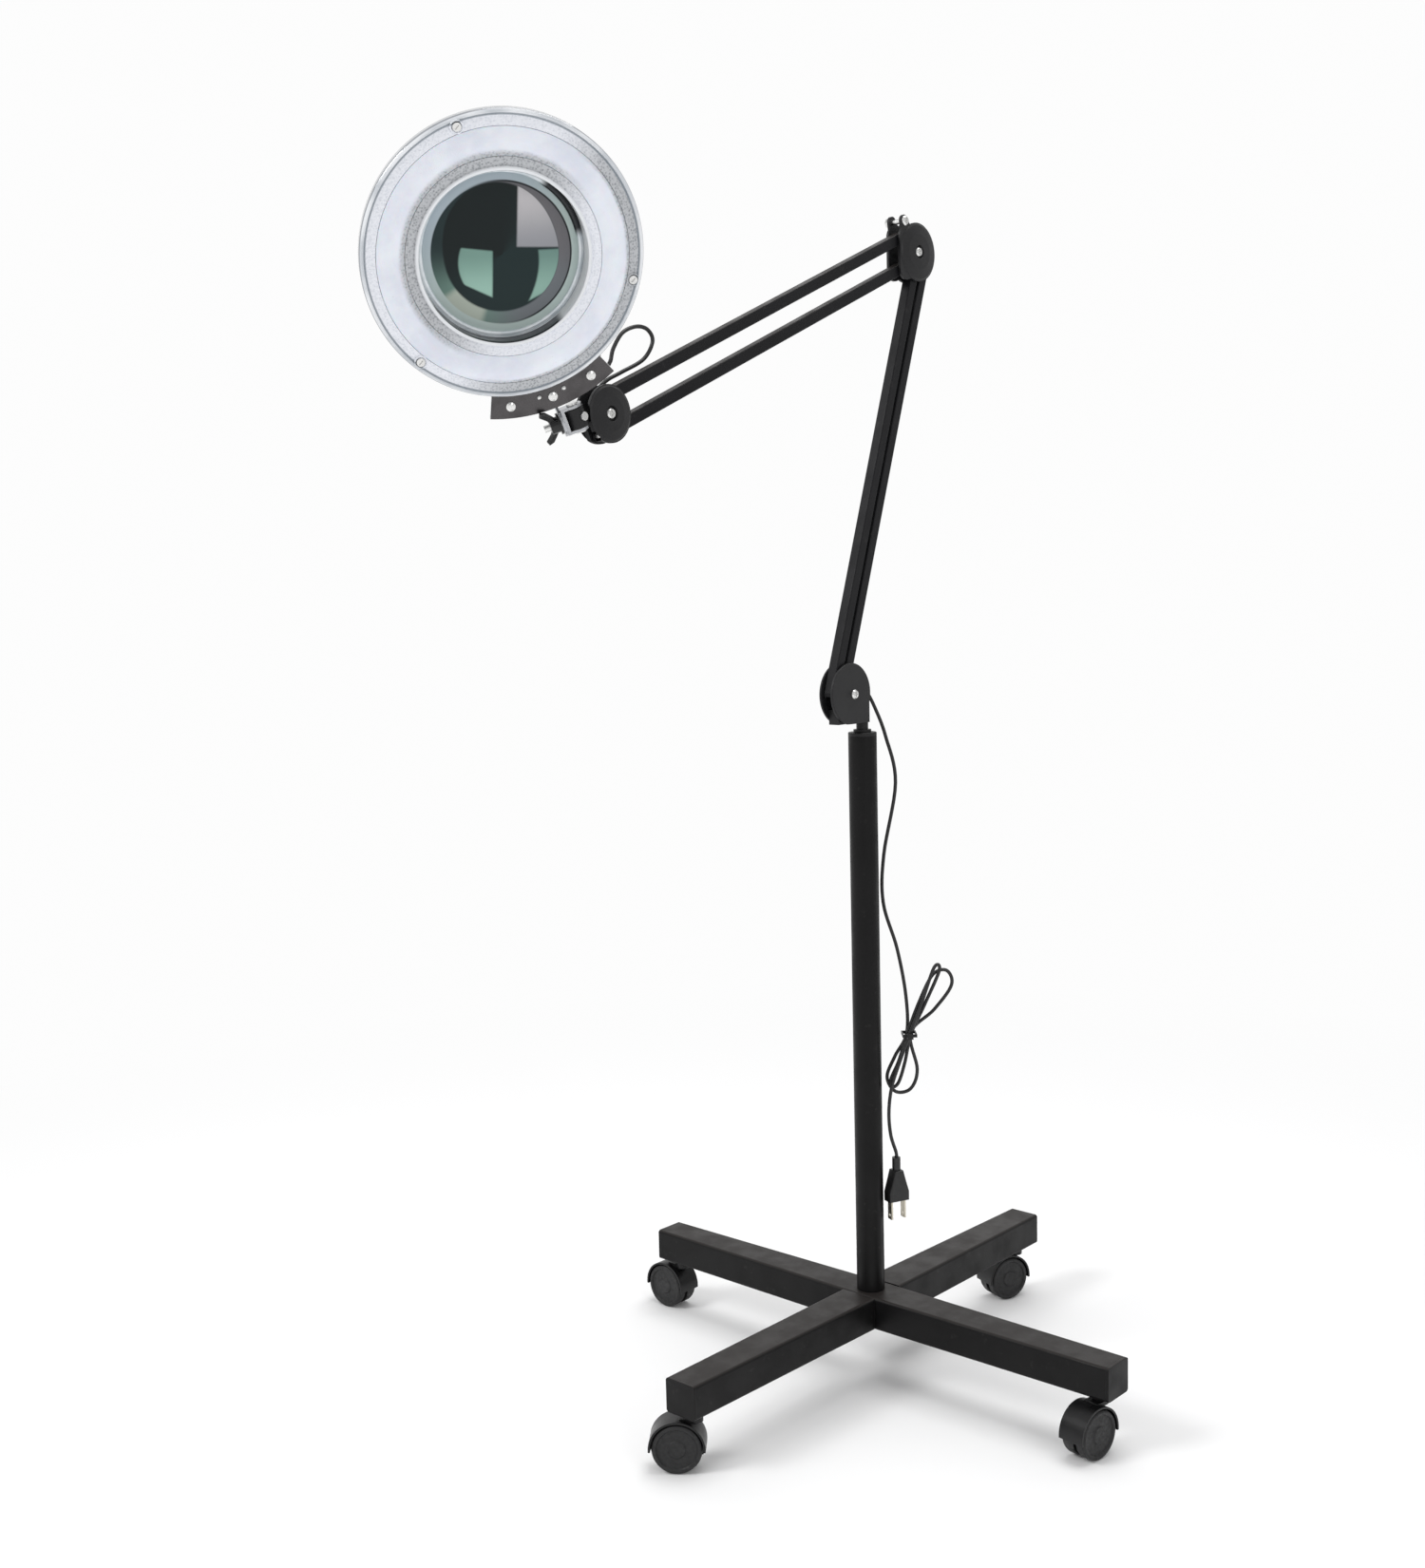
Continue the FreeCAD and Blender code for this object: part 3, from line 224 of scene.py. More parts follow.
def moulded_plastic(name, color, rough=0.5, grain=1500.0, depth=0.25, sheen=0.32):
    """Moulded plastic: spark-eroded grain, faint flow marks and rubbed edges."""
    s = Shader(name)
    cloud = s.spread(s.noise(30.0, 3.0), 0.3, 0.7)
    base = s.mix(cloud, scaled(color, 0.8), scaled(color, 1.2))
    edge = s.edge_mask(0.0008, 0.02, 0.25)
    base = s.mix(s.maths("MULTIPLY", edge, 0.4), base, scaled(color, 2.5, 0.008))
    roughness = s.spread(s.noise(60.0, 2.0), 0.3, 0.7, rough - 0.07, rough + 0.08)
    grained = s.maths("ADD", s.noise(grain, 2.0), s.maths("MULTIPLY", s.cells(grain * 0.8), 0.5))
    normal = s.bump(grained, depth, 0.0002, 0.0005)
    node = s.surface(Base_Color=base, Roughness=roughness, Specular_IOR_Level=sheen, Normal=normal)
    return s.finish(node)


def plated(name, color, rough=0.22, brushed=(1.0, 1.0, 1.0), tarnish=0.25, scratch=0.12):
    """Bright plated steel with brushing along one axis, faint stains and soft edges."""
    s = Shader(name)
    stretch = s.add("ShaderNodeMapping")
    s.put(stretch.inputs["Vector"], s.coords)
    stretch.inputs["Scale"].default_value = brushed
    lines = s.noise(1200.0, 3.0, 0.6, stretch.outputs["Vector"])
    stain = s.spread(s.noise(55.0, 4.0), 0.45, 0.75)
    base = s.mix(s.maths("MULTIPLY", stain, tarnish), color, scaled(color, 0.55))
    roughness = s.maths("ADD", s.spread(lines, 0.3, 0.7, rough - 0.05, rough + 0.1),
                        s.maths("MULTIPLY", stain, 0.12))
    normal = s.bump(lines, scratch, 0.0001, 0.0004)
    return s.finish(s.surface(Base_Color=base, Metallic=1.0, Roughness=roughness, Normal=normal))


def rubber_tread(name, color):
    """Dull wheel rubber with fine grit and scuffs."""
    s = Shader(name)
    grit = s.noise(420.0, 4.0)
    scuff = s.spread(s.noise(70.0, 3.0), 0.5, 0.75)
    base = s.mix(s.maths("MULTIPLY", scuff, 0.45), color, scaled(color, 2.4, 0.01))
    roughness = s.spread(grit, 0.3, 0.7, 0.48, 0.7)
    normal = s.bump(s.maths("ADD", grit, s.noise(1600.0, 2.0)), 0.35, 0.0003, 0.0006)
    return s.finish(s.surface(Base_Color=base, Roughness=roughness, Normal=normal))


def cord_sheath(name, color):
    """Soft vinyl cord: slight sheen with shallow ripples."""
    s = Shader(name)
    ripple = s.noise(260.0, 3.0)
    base = s.mix(s.spread(ripple, 0.35, 0.7), color, scaled(color, 1.6))
    roughness = s.spread(s.noise(90.0), 0.3, 0.7, 0.34, 0.5)
    return s.finish(s.surface(Base_Color=base, Roughness=roughness, Normal=s.bump(ripple, 0.3, 0.0003)))


POWDER = powder_coat("powder_black", (0.005, 0.0048, 0.005))
ARM_POWDER = powder_coat("arm_black", (0.006, 0.006, 0.0072), peel=1300.0, wear=0.8)
JOINT_PLASTIC = moulded_plastic("joint_plastic", (0.010, 0.010, 0.011), rough=0.42)
CAP_PLASTIC = moulded_plastic("cap_plastic", (0.008, 0.008, 0.0085), rough=0.5)
CASTER_PLASTIC = moulded_plastic("caster_plastic", (0.006, 0.006, 0.0065), rough=0.34)
WING_PLASTIC = moulded_plastic("wing_plastic", (0.005, 0.005, 0.0055), rough=0.2, depth=0.1, sheen=0.5)
SWITCH_PLASTIC = moulded_plastic("switch_plastic", (0.006, 0.006, 0.0065), rough=0.3, depth=0.1)
TREAD = rubber_tread("caster_tread", (0.008, 0.008, 0.0085))
CORD = cord_sheath("cord_sheath", (0.006, 0.006, 0.0065))
TIE_NYLON = moulded_plastic("tie_nylon", (0.009, 0.009, 0.0095), rough=0.38, depth=0.1)
ZINC = plated("zinc_bright", (0.78, 0.78, 0.77))
YOKE_PLATE = plated("yoke_nickel", (0.46, 0.47, 0.49), rough=0.22, brushed=(0.2, 1.0, 1.0))
GUNMETAL = plated("bracket_gunmetal", (0.10, 0.095, 0.097), rough=0.3, brushed=(0.15, 1.0, 1.0),
                  tarnish=0.6)
BLADE = plated("blade_nickel", (0.66, 0.62, 0.52), rough=0.28, brushed=(1.0, 1.0, 0.1))


def board_mask():
    """White solder mask with a faint grain."""
    s = Shader("board_mask")
    base = s.mix(s.spread(s.noise(120.0), 0.4, 0.7), (0.78, 0.79, 0.77), (0.86, 0.86, 0.84))
    return s.finish(s.surface(Base_Color=base, Roughness=0.45, Normal=s.bump(s.noise(900.0), 0.1, 0.0002)))


# ---- materials of the head -----------------------------------------------------------------------
#
# Each pair of radii, in mm, is where a zone begins to fade in and where it is full.
# Each direction is an angle in degrees as the head is seen from the front, 0 to the right and 90 up.

# the first pair is the stippled bands' grey of painted shade, the second their unshaded white
SHADED_STIPPLE = ((0.20, 0.215, 0.235), (0.50, 0.515, 0.54))
WHITE_STIPPLE = ((0.70, 0.73, 0.80), (0.85, 0.87, 0.93))
SHADOW = (0.018, 0.02, 0.026)
INNER_SHADED_SIDE = 142.0             # painted shade greys the inner band towards this direction
OUTER_SHADED_SIDE = -28.0             # and the outer band towards this one
WALL_SHADOW = (-100.0, 54.0)        # shadow on the wall of the opening: direction and half width
RING_SHADOW = (33.0, 26.0)          # shadow over the lens ring, the same way

COVER_WALL = (55.35, 55.6)
COVER_LIP = (57.5, 58.2)
COVER_MIDDLE = (73.0, 74.0)
GROOVE_IN = (88.6, 89.3)
COVER_RIM = (89.4, 90.2)
GROOVE_OUT = (89.9, 90.5)
RIM_EDGE = (92.2, 92.8)

DIFFUSER_IN = (65.5, 69.5)
DIFFUSER_OUT = (79.5, 82.0)

GLASS_ZONE = (36.9, 38.7)           # the lens's dark depth gives way to its rim zone
PANE_EDGE = (37.4, 38.2)            # the painted reflections of the panes end
ZONE_RISE = 8.0                     # both lie this much further out at the top of the lens, mm
LINE_IN = (45.4, 45.9)
SEAT = (45.6, 46.6)
LINE_OUT = (46.5, 47.2)
# the painted shadow over the lens's edge fades in between these radii
LENS_SHADOW_RADII = (50.4, 51.0)

TUNNEL_WALL = (56.0, 56.4)
TUNNEL_FLOOR = (-0.0035, -0.0025)   # the tunnel's shadow ends at this height, m from the middle plane


def head_coords(s):
    """Position on the head in the head's own frame, worked out from the row frame of the meshes."""
    offset = s.add("ShaderNodeVectorMath", operation="SUBTRACT")
    s.put(offset.inputs[0], s.coords)
    offset.inputs[1].default_value = HEAD_AT
    local = s.add("ShaderNodeCombineXYZ")
    for i, key in enumerate("XYZ"):
        s.put(local.inputs[key], along(s, offset.outputs[0], HEAD.to_3x3().col[i]))
    return local.outputs[0]


def head_radius(s):
    """Distance from the head's axis, mm, once a shader's coordinates are the head's."""
    split = s.add("ShaderNodeSeparateXYZ")
    s.put(split.inputs["Vector"], s.coords)
    x, y = split.outputs["X"], split.outputs["Y"]
    squares = s.maths("ADD", s.maths("MULTIPLY", x, x), s.maths("MULTIPLY", y, y))
    return s.maths("MULTIPLY", s.maths("SQRT", squares), 1 / MM)


def along(s, vector, direction):
    """How far a vector reaches along a fixed direction."""
    node = s.add("ShaderNodeVectorMath", operation="DOT_PRODUCT")
    s.put(node.inputs[0], vector)
    node.inputs[1].default_value = direction
    return node.outputs["Value"]


def head_side(s, degrees):
    """1 on the side of the head that lies towards an angle as seen from the front, -1 opposite it."""
    flat = s.add("ShaderNodeVectorMath", operation="MULTIPLY")
    s.put(flat.inputs[0], s.coords)
    flat.inputs[1].default_value = (1.0, 1.0, 0.0)
    unit = s.add("ShaderNodeVectorMath", operation="NORMALIZE")
    s.put(unit.inputs[0], flat.outputs[0])
    a = math.radians(degrees) + HEAD_TURN
    return along(s, unit.outputs[0], (math.cos(a), math.sin(a), 0.0))


def both(s, *masks):
    """Product of several masks."""
    result = masks[0]
    for mask in masks[1:]:
        result = s.maths("MULTIPLY", result, mask)
    return result


def arc_of(s, degrees, half_width):
    """1 within an arc of the head, fading over a few degrees at its ends."""
    edge = math.cos(math.radians(half_width))
    inside = math.cos(math.radians(max(half_width - 8.0, 0.0)))
    return s.spread(head_side(s, degrees), edge, inside)


def stippling(s):
    """Height of the moulded stipple, and the same as a mask from its hollows to its tops."""
    height = s.maths("ADD", s.cells(620.0), s.maths("MULTIPLY", s.noise(900.0, 3.0), 0.8))
    return height, s.spread(height, 0.3, 1.1)


def cover_material():
    """Clear acrylic cover: two stippled bands with painted shade, grey where they slope from the light, and
    a clear rim.
    """
    s = Shader("cover_acrylic")
    s.coords = head_coords(s)
    r = head_radius(s)
    stipple, grain = stippling(s)
    outside = s.spread(r, *COVER_MIDDLE)
    # painted shade: each band greys on the side that slopes from the light
    shaded_in = both(s, s.less(outside), s.spread(head_side(s, INNER_SHADED_SIDE), -0.6, 0.2))
    shaded_out = both(s, outside, s.spread(head_side(s, OUTER_SHADED_SIDE), -0.05, 0.5))
    shaded = s.maths("ADD", shaded_in, shaded_out)
    band = s.mix(shaded, s.mix(grain, *WHITE_STIPPLE), s.mix(grain, *SHADED_STIPPLE))
    rim = s.mix(s.spread(s.noise(30.0), 0.35, 0.65), (0.55, 0.58, 0.62), (0.80, 0.82, 0.85))
    rim = s.mix(s.maths("MULTIPLY", s.spread(r, *RIM_EDGE), 0.85), rim, (0.17, 0.18, 0.20))
    # painted shade darkens the groove in the rim
    groove_shade = both(s, s.spread(r, *GROOVE_IN), s.less(s.spread(r, *GROOVE_OUT)))
    lip = s.spread(r, *COVER_LIP)
    outer = s.spread(r, *COVER_RIM)
    color = s.mix(outer, s.mix(lip, (0.80, 0.82, 0.85), band), rim)
    color = s.mix(s.maths("MULTIPLY", groove_shade, 0.75), color, (0.16, 0.20, 0.24))
    wall = both(s, s.less(s.spread(r, *COVER_WALL)), arc_of(s, *WALL_SHADOW))
    color = s.mix(wall, color, SHADOW)
    frosted = both(s, lip, s.less(outer))
    roughness = s.spread(frosted, 0.0, 1.0, 0.07, 0.4, False)
    normal = s.bump(s.maths("MULTIPLY", stipple, frosted), 0.7, 0.0006)
    node = s.surface(Base_Color=color, Roughness=roughness, Normal=normal, Coat_Weight=0.5,
                     Coat_Roughness=0.05, IOR=1.49)
    return s.finish(node)


def diffuser_material():
    """Opal diffuser: cool white with faint haze and specks. The cover's painted shade bands run onto it."""
    s = Shader("diffuser_opal")
    s.coords = head_coords(s)
    haze = s.spread(s.noise(45.0, 4.0), 0.3, 0.7)
    base = s.mix(haze, (0.74, 0.77, 0.86), (0.84, 0.87, 0.94))
    specks = s.spread(s.noise(420.0, 2.0), 0.7, 0.8)
    base = s.mix(s.maths("MULTIPLY", specks, 0.4), base, (0.52, 0.54, 0.60))
    r = s.maths("MULTIPLY_ADD", s.noise(60.0, 3.0), 2.0, s.maths("SUBTRACT", head_radius(s), 1.0))
    grain = stippling(s)[1]
    inner = s.less(s.spread(r, *DIFFUSER_IN))
    outer = s.spread(r, *DIFFUSER_OUT)
    # painted shade on its inner and outer edges, running on from the cover's bands
    shaded_in = both(s, inner, s.spread(head_side(s, INNER_SHADED_SIDE), -0.5, 0.3))
    shaded_out = both(s, outer, s.spread(head_side(s, OUTER_SHADED_SIDE), 0.0, 0.6))
    shaded = s.maths("MULTIPLY", s.maths("ADD", shaded_in, shaded_out), 0.9)
    base = s.mix(shaded, base, s.mix(grain, *SHADED_STIPPLE))
    fine = s.noise(1100.0, 3.0)
    node = s.surface(Base_Color=base, Roughness=0.42, Normal=s.bump(fine, 0.3, 0.0004),
                     Subsurface_Weight=0.2, Subsurface_Scale=0.003, Specular_IOR_Level=0.35)
    return s.finish(node)


def lens_material():
    """Thick bottle-green glass with its light painted in. Its depth is nearly black, darker to the upper
    left, and its rim zone is a painted view of the pale seat behind, lit and shaded by side; the panes are
    painted reflections of windows in the crowned face, placed by the direction a ray leaves it."""
    s = Shader("lens_glass")
    s.coords = head_coords(s)
    r = head_radius(s)
    ray = s.add("ShaderNodeTexCoord").outputs["Reflection"]
    turn = Matrix.Rotation(HEAD_TURN, 3, "Z")
    across = along(s, ray, HEAD.to_3x3() @ (turn @ Vector((1, 0, 0))))
    rise = along(s, ray, HEAD.to_3x3() @ (turn @ Vector((0, 1, 0))))

    def beyond(value, slope, by, start, soft=0.006):
        """1 where a value passes a line that leans with another value."""
        return s.spread(s.maths("MULTIPLY_ADD", by, slope, value), start - soft, start + soft)

    def short_of(*line):
        return s.less(beyond(*line))

    # painted shade and light: the glass's depth darker to the upper left, its rim zone lighter or darker by
    # side
    upper_left = s.spread(head_side(s, 128.0), -0.3, 0.8)
    deep = s.mix(upper_left, (0.011, 0.024, 0.025), (0.006, 0.011, 0.0115))
    left_zone = s.spread(head_side(s, 205.0), 0.1, 0.95)
    zone = s.mix(left_zone, (0.15, 0.165, 0.18), (0.14, 0.235, 0.20))
    zone = s.mix(s.spread(head_side(s, 138.0), 0.2, 0.9), zone, (0.016, 0.03, 0.032))
    zone = s.mix(s.spread(head_side(s, 40.0), 0.3, 0.9), zone, (0.14, 0.137, 0.148))
    zone = s.mix(arc_of(s, 232.0, 22.0), zone, (0.40, 0.45, 0.39))
    above = s.maths("MAXIMUM", head_side(s, 100.0), 0.0)
    inward = s.maths("MULTIPLY_ADD", s.maths("MULTIPLY", above, above), -ZONE_RISE, r)
    base = s.mix(s.spread(inward, *GLASS_ZONE), deep, zone)
    # painted view of the pale seat through the glass, its tone changing by side
    seat = s.mix(s.spread(head_side(s, 120.0), -0.2, 0.9), (0.46, 0.55, 0.53), (0.40, 0.47, 0.52))
    thin_line = both(s, s.spread(r, *LINE_IN), s.less(s.spread(r, *LINE_OUT)))
    base = s.mix(s.spread(r, *SEAT), base, seat)
    dark_side = s.spread(head_side(s, 10.0), -0.5, 0.4)
    base = s.mix(both(s, thin_line, dark_side), base, (0.02, 0.022, 0.025))
    # painted shadow of the cover over the lens's edge
    lens_shadow = both(s, s.spread(r, *LENS_SHADOW_RADII), arc_of(s, *RING_SHADOW))
    base = s.mix(lens_shadow, base, (0.012, 0.014, 0.016))

    # painted reflections of two windows and a pale wedge, bounded by lines in the two directions of the
    # mirrored ray
    level = s.maths("ADD", rise, 0.29)
    bowed = s.maths("MULTIPLY_ADD", s.maths("MULTIPLY", level, level), -3.0, across)
    left = both(s, beyond(bowed, 0.0, rise, -0.045), short_of(across, -0.06, rise, 0.121),
                short_of(rise, 0.15, across, -0.224), beyond(rise, 0.5, across, -0.388))
    clear_of_rim = s.less(s.spread(inward, *PANE_EDGE))
    curved = s.maths("MULTIPLY_ADD", s.maths("MULTIPLY", s.maths("ADD", rise, 0.25), level), 1.6, across)
    right = both(s, beyond(curved, 0.0, rise, 0.305), clear_of_rim,
                 short_of(rise, 0.04, across, -0.237), beyond(rise, -0.45, across, -0.57))
    wedge = both(s, beyond(across, -0.095, rise, 0.235), beyond(rise, 0.086, across, -0.21), clear_of_rim)
    fade = s.spread(rise, -0.42, -0.24)
    base = s.mix(left, base, s.mix(fade, (0.32, 0.52, 0.44), (0.18, 0.31, 0.265)))
    base = s.mix(right, base, s.mix(fade, (0.27, 0.44, 0.375), (0.15, 0.26, 0.23)))
    glow = s.spread(rise, -0.23, -0.02)
    base = s.mix(wedge, base, s.mix(glow, (0.30, 0.305, 0.33), (0.50, 0.485, 0.50)))
    smear = s.spread(s.noise(28.0, 3.0), 0.4, 0.7, 0.3, 0.36)
    node = s.surface(Base_Color=base, Roughness=smear, Specular_IOR_Level=0.0, Coat_Weight=0.4,
                     Coat_Roughness=0.015, Coat_IOR=1.5)
    return s.finish(node)


def ring_material():
    """Bright snap ring, dark where it drops into the cover's shadow."""
    s = Shader("lens_ring_bright")
    s.coords = head_coords(s)
    dark = arc_of(s, *RING_SHADOW)
    base = s.mix(s.spread(s.noise(90.0), 0.35, 0.7), (0.60, 0.66, 0.70), (0.78, 0.82, 0.85))
    base = s.mix(dark, base, (0.02, 0.022, 0.025))
    rough = s.spread(s.noise(60.0), 0.3, 0.7, 0.14, 0.26)
    normal = s.bump(s.noise(500.0), 0.1, 0.0001)
    return s.finish(s.surface(Base_Color=base, Roughness=rough, Metallic=0.35, Normal=normal))


def shell_material():
    """Off-white moulding; its tunnel wall falls into shadow below the lens."""
    s = Shader("shell_white")
    local = head_coords(s)
    height = s.add("ShaderNodeSeparateXYZ")
    s.put(height.inputs["Vector"], local)
    cloud = s.spread(s.noise(24.0, 3.0), 0.3, 0.7)
    base = s.mix(cloud, (0.70, 0.72, 0.73), (0.78, 0.79, 0.80))
    fine = s.noise(1300.0, 2.0)
    row = s.coords
    s.coords = local
    wall = both(s, s.less(s.spread(head_radius(s), *TUNNEL_WALL)), arc_of(s, *WALL_SHADOW),
                s.spread(height.outputs["Z"], *TUNNEL_FLOOR))
    s.coords = row
    base = s.mix(wall, base, SHADOW)
    roughness = s.spread(s.noise(70.0), 0.3, 0.7, 0.28, 0.4)
    node = s.surface(Base_Color=base, Roughness=roughness, Normal=s.bump(fine, 0.15, 0.0002, 0.0006),
                     Coat_Weight=0.4, Coat_Roughness=0.1)
    return s.finish(node)


def paint(node, material):
    """Give a carried-over CAD node one procedural material."""
    data = NODES[node].data
    data.materials.clear()
    data.materials.append(material)


PAINT = {
    "base_beam": POWDER, "front_leg": POWDER, "rear_leg": POWDER, "pole": POWDER,
    "leg_end_caps": POWDER, "caster_sockets": CAP_PLASTIC, "pole_bush": CAP_PLASTIC,
    "hub_bolt": ZINC, "pole_foot": POWDER, "spigot": CAP_PLASTIC,
    "lower_cheeks": JOINT_PLASTIC, "elbow_cheeks": JOINT_PLASTIC, "wrist_cheeks": JOINT_PLASTIC,
    "wrist_socket": JOINT_PLASTIC,
    "lower_screw": ZINC, "elbow_screws": ZINC, "wrist_screws": ZINC, "lower_pins": ZINC,
    "elbow_pins": ZINC, "wrist_pins": ZINC,
    "lower_front_bar": ARM_POWDER, "lower_rear_bar": ARM_POWDER, "upper_low_bar": ARM_POWDER,
    "upper_top_bar": ARM_POWDER,
    "swivel_pin": ZINC, "tilt_yoke": YOKE_PLATE, "tilt_stud": ZINC, "tilt_ear": YOKE_PLATE,
    "wing_nut": WING_PLASTIC, "bracket_plate": GUNMETAL, "bracket_rivets": ZINC,
    "rear_shell": shell_material(), "led_board": board_mask(), "cover_screws": ZINC,
    "switch_rocker": SWITCH_PLASTIC, "cable_tie": TIE_NYLON, "plug_body": CORD, "plug_blades": BLADE,
}
for place in ("front", "right", "rear", "left"):
    PAINT["caster_hood_" + place] = CASTER_PLASTIC
    PAINT["caster_stem_axle_" + place] = ZINC
    PAINT["caster_wheel_a_" + place] = TREAD
    PAINT["caster_wheel_b_" + place] = TREAD
for node, material in PAINT.items():
    paint(node, material)


# ---- mesh helpers -------------------------------------------------------------------------------

def link(name, mesh, material, matrix=Matrix.Identity(4), sharp=35.0):
    """Put a mesh into the scene in the row frame, smooth but for edges sharper than an angle in degrees."""
    mesh.transform(matrix)
    for polygon in mesh.polygons:
        polygon.use_smooth = True
    mesh.set_sharp_from_angle(angle=math.radians(sharp))
    piece = bpy.data.objects.new(name, mesh)
    bpy.context.scene.collection.objects.link(piece)
    mesh.materials.append(material)
    return piece


def turned(name, profile, material, matrix, segments=192):
    """Ring or disc turned from a list of (radius, height) in mm about the local Z axis."""
    bm = bmesh.new()
    rings = []
    for r, z in profile:
        if r < 1e-6:
            rings.append([bm.verts.new((0, 0, z * MM))])
            continue
        ring = []
        for i in range(segments):
            a = 2 * math.pi * i / segments
            ring.append(bm.verts.new((r * MM * math.cos(a), r * MM * math.sin(a), z * MM)))
        rings.append(ring)
    closed = profile[0][0] > 1e-6 or profile[-1][0] > 1e-6
    count = len(rings) if closed else len(rings) - 1
    for j in range(count):
        a, b = rings[j], rings[(j + 1) % len(rings)]
        for i in range(segments):
            n = (i + 1) % segments
            corners = [a[i % len(a)], a[n % len(a)], b[n % len(b)], b[i % len(b)]]
            unique = list(dict.fromkeys(corners))
            if len(unique) > 2:
                bm.faces.new(unique)
    bmesh.ops.recalc_face_normals(bm, faces=bm.faces)
    mesh = bpy.data.meshes.new(name)
    bm.to_mesh(mesh)
    bm.free()
    return link(name, mesh, material, matrix)


def smooth_path(points, steps=8):
    """Catmull-Rom curve through a list of points."""
    ends = [points[0] * 2 - points[1]] + points + [points[-1] * 2 - points[-2]]
    path = []
    for a, b, c, d in zip(ends, ends[1:], ends[2:], ends[3:]):
        for i in range(steps):
            t = i / steps
            path.append(0.5 * ((2 * b) + (c - a) * t + (2 * a - 5 * b + 4 * c - d) * t * t
                               + (3 * b - a - 3 * c + d) * t * t * t))
    path.append(points[-1])
    return path


def tube(name, path, radius, material, sides=16, cap=True):
    """Round tube along a path of vectors, carried along without twisting."""
    bm = bmesh.new()
    rings = []
    way = (path[1] - path[0]).normalized()
    side = way.orthogonal().normalized()
    for i, point in enumerate(path):
        before, after = path[max(i - 1, 0)], path[min(i + 1, len(path) - 1)]
        way = (after - before).normalized()
        side = (side - way * side.dot(way)).normalized()
        up = way.cross(side)
        ring = []
        for k in range(sides):
            a = 2 * math.pi * k / sides
            ring.append(bm.verts.new(point + (side * math.cos(a) + up * math.sin(a)) * radius))
        rings.append(ring)
    for a, b in zip(rings, rings[1:]):
        for k in range(sides):
            n = (k + 1) % sides
            bm.faces.new((a[k], a[n], b[n], b[k]))
    if cap:
        bm.faces.new(rings[0][::-1])
        bm.faces.new(rings[-1])
    bmesh.ops.recalc_face_normals(bm, faces=bm.faces)
    mesh = bpy.data.meshes.new(name)
    bm.to_mesh(mesh)
    bm.free()
    return link(name, mesh, material)


def in_head(piece, node):
    """Let a piece move with the head in place of its CAD node."""
    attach(piece, "head")
    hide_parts(node)


# ---- head ---------------------------------------------------------------------------------------

def dome(r0, r1, low, high, count):
    """Points of a low arch from radius r0 to r1."""
    points = []
    for i in range(count + 1):
        t = i / count
        points.append((r0 + (r1 - r0) * t, low + (high - low) * math.sin(math.pi * t)))
    return points


f = HEAD_FRONT                      # short, for the outlines below: lists of (radius, height), mm
COVER_LOW = f - 4.15
cover_profile = [(55.25, 3.7), (55.25, f - 1.0), (55.6, f - 0.35), (56.3, f - 0.02), (57.2, f - 0.15),
                 (57.9, f - 1.0), (58.6, f - 1.75), (60.5, f - 1.15), (62.6, f - 0.6), (64.2, f - 0.35),
                 (64.25, f - 2.6), (82.75, f - 2.6), (82.8, f - 0.35), (84.6, f - 0.5), (87.0, f - 1.1),
                 (89.2, f - 1.9), (89.9, f - 1.9), (90.5, f - 1.25), (91.2, f - 1.15), (92.0, f - 1.6),
                 (92.8, f - 2.6), (HEAD_R, f - 3.6), (HEAD_R, 1.0), (92.7, 0.55), (91.75, 0.55),
                 (91.75, 3.7), (91.0, f - 3.2), (90.0, COVER_LOW), (58.6, COVER_LOW), (58.6, 3.7)]
acrylic = cover_material()
cover = turned("head_cover", cover_profile, acrylic, HEAD)
in_head(cover, "front_cover")

diffuser_profile = [(64.5, f - 2.45), (64.5, f - 0.3)] + dome(65.0, 82.0, f - 0.1, f + 1.75, 14)
diffuser_profile += [(82.5, f - 0.3), (82.5, f - 2.45)]
diffuser = turned("head_diffuser", diffuser_profile, diffuser_material(), HEAD)
in_head(diffuser, "diffuser_ring")

LENS_MID = HEAD_BACK + 6.85
LENS_EDGE = 1.5                     # half the lens's thickness at its edge, mm
LENS_CROWN = 4.5                    # and what each face rises above that at the middle
LENS_STEPS = 24
curve_r = (LENS_R ** 2 + LENS_CROWN ** 2) / (2 * LENS_CROWN)


def lens_half(sign):
    """Outline of one face of the lens from its middle to its edge."""
    points = []
    for i in range(LENS_STEPS + 1):
        r = LENS_R * i / LENS_STEPS
        sag = curve_r - math.sqrt(curve_r ** 2 - r ** 2)
        points.append((r, LENS_MID + sign * (LENS_EDGE + LENS_CROWN - sag)))
    return points


lens = turned("head_lens", lens_half(1) + lens_half(-1)[::-1], lens_material(), HEAD)
in_head(lens, "lens")

low = LENS_MID + LENS_EDGE + 0.45
ring_profile = [(51.6, low), (51.5, low + 0.5), (51.9, low + 1.1), (52.7, low + 1.4), (53.6, low + 1.38),
                (54.6, low + 0.9), (55.15, low + 0.3), (55.15, low)]
lens_ring = turned("head_lens_ring", ring_profile, ring_material(), HEAD)
in_head(lens_ring, "lens_ring")

# raised pads round the three cover screws
PAD_RING = 87.0
pad_profile = [(3.25, f - 2.0), (3.25, f - 0.15), (3.6, f + 0.3), (4.1, f + 0.3), (4.5, f - 0.2),
               (4.5, f - 2.0)]
for index, angle in enumerate((90.0, 210.0, 330.0)):
    a = math.radians(angle)
    at = HEAD @ Matrix.Translation((PAD_RING * MM * math.cos(a), PAD_RING * MM * math.sin(a), 0))
    pad = turned("cover_pad_%d" % index, pad_profile, acrylic, at, 48)
    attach(pad, "head")


# ---- cables -------------------------------------------------------------------------------------

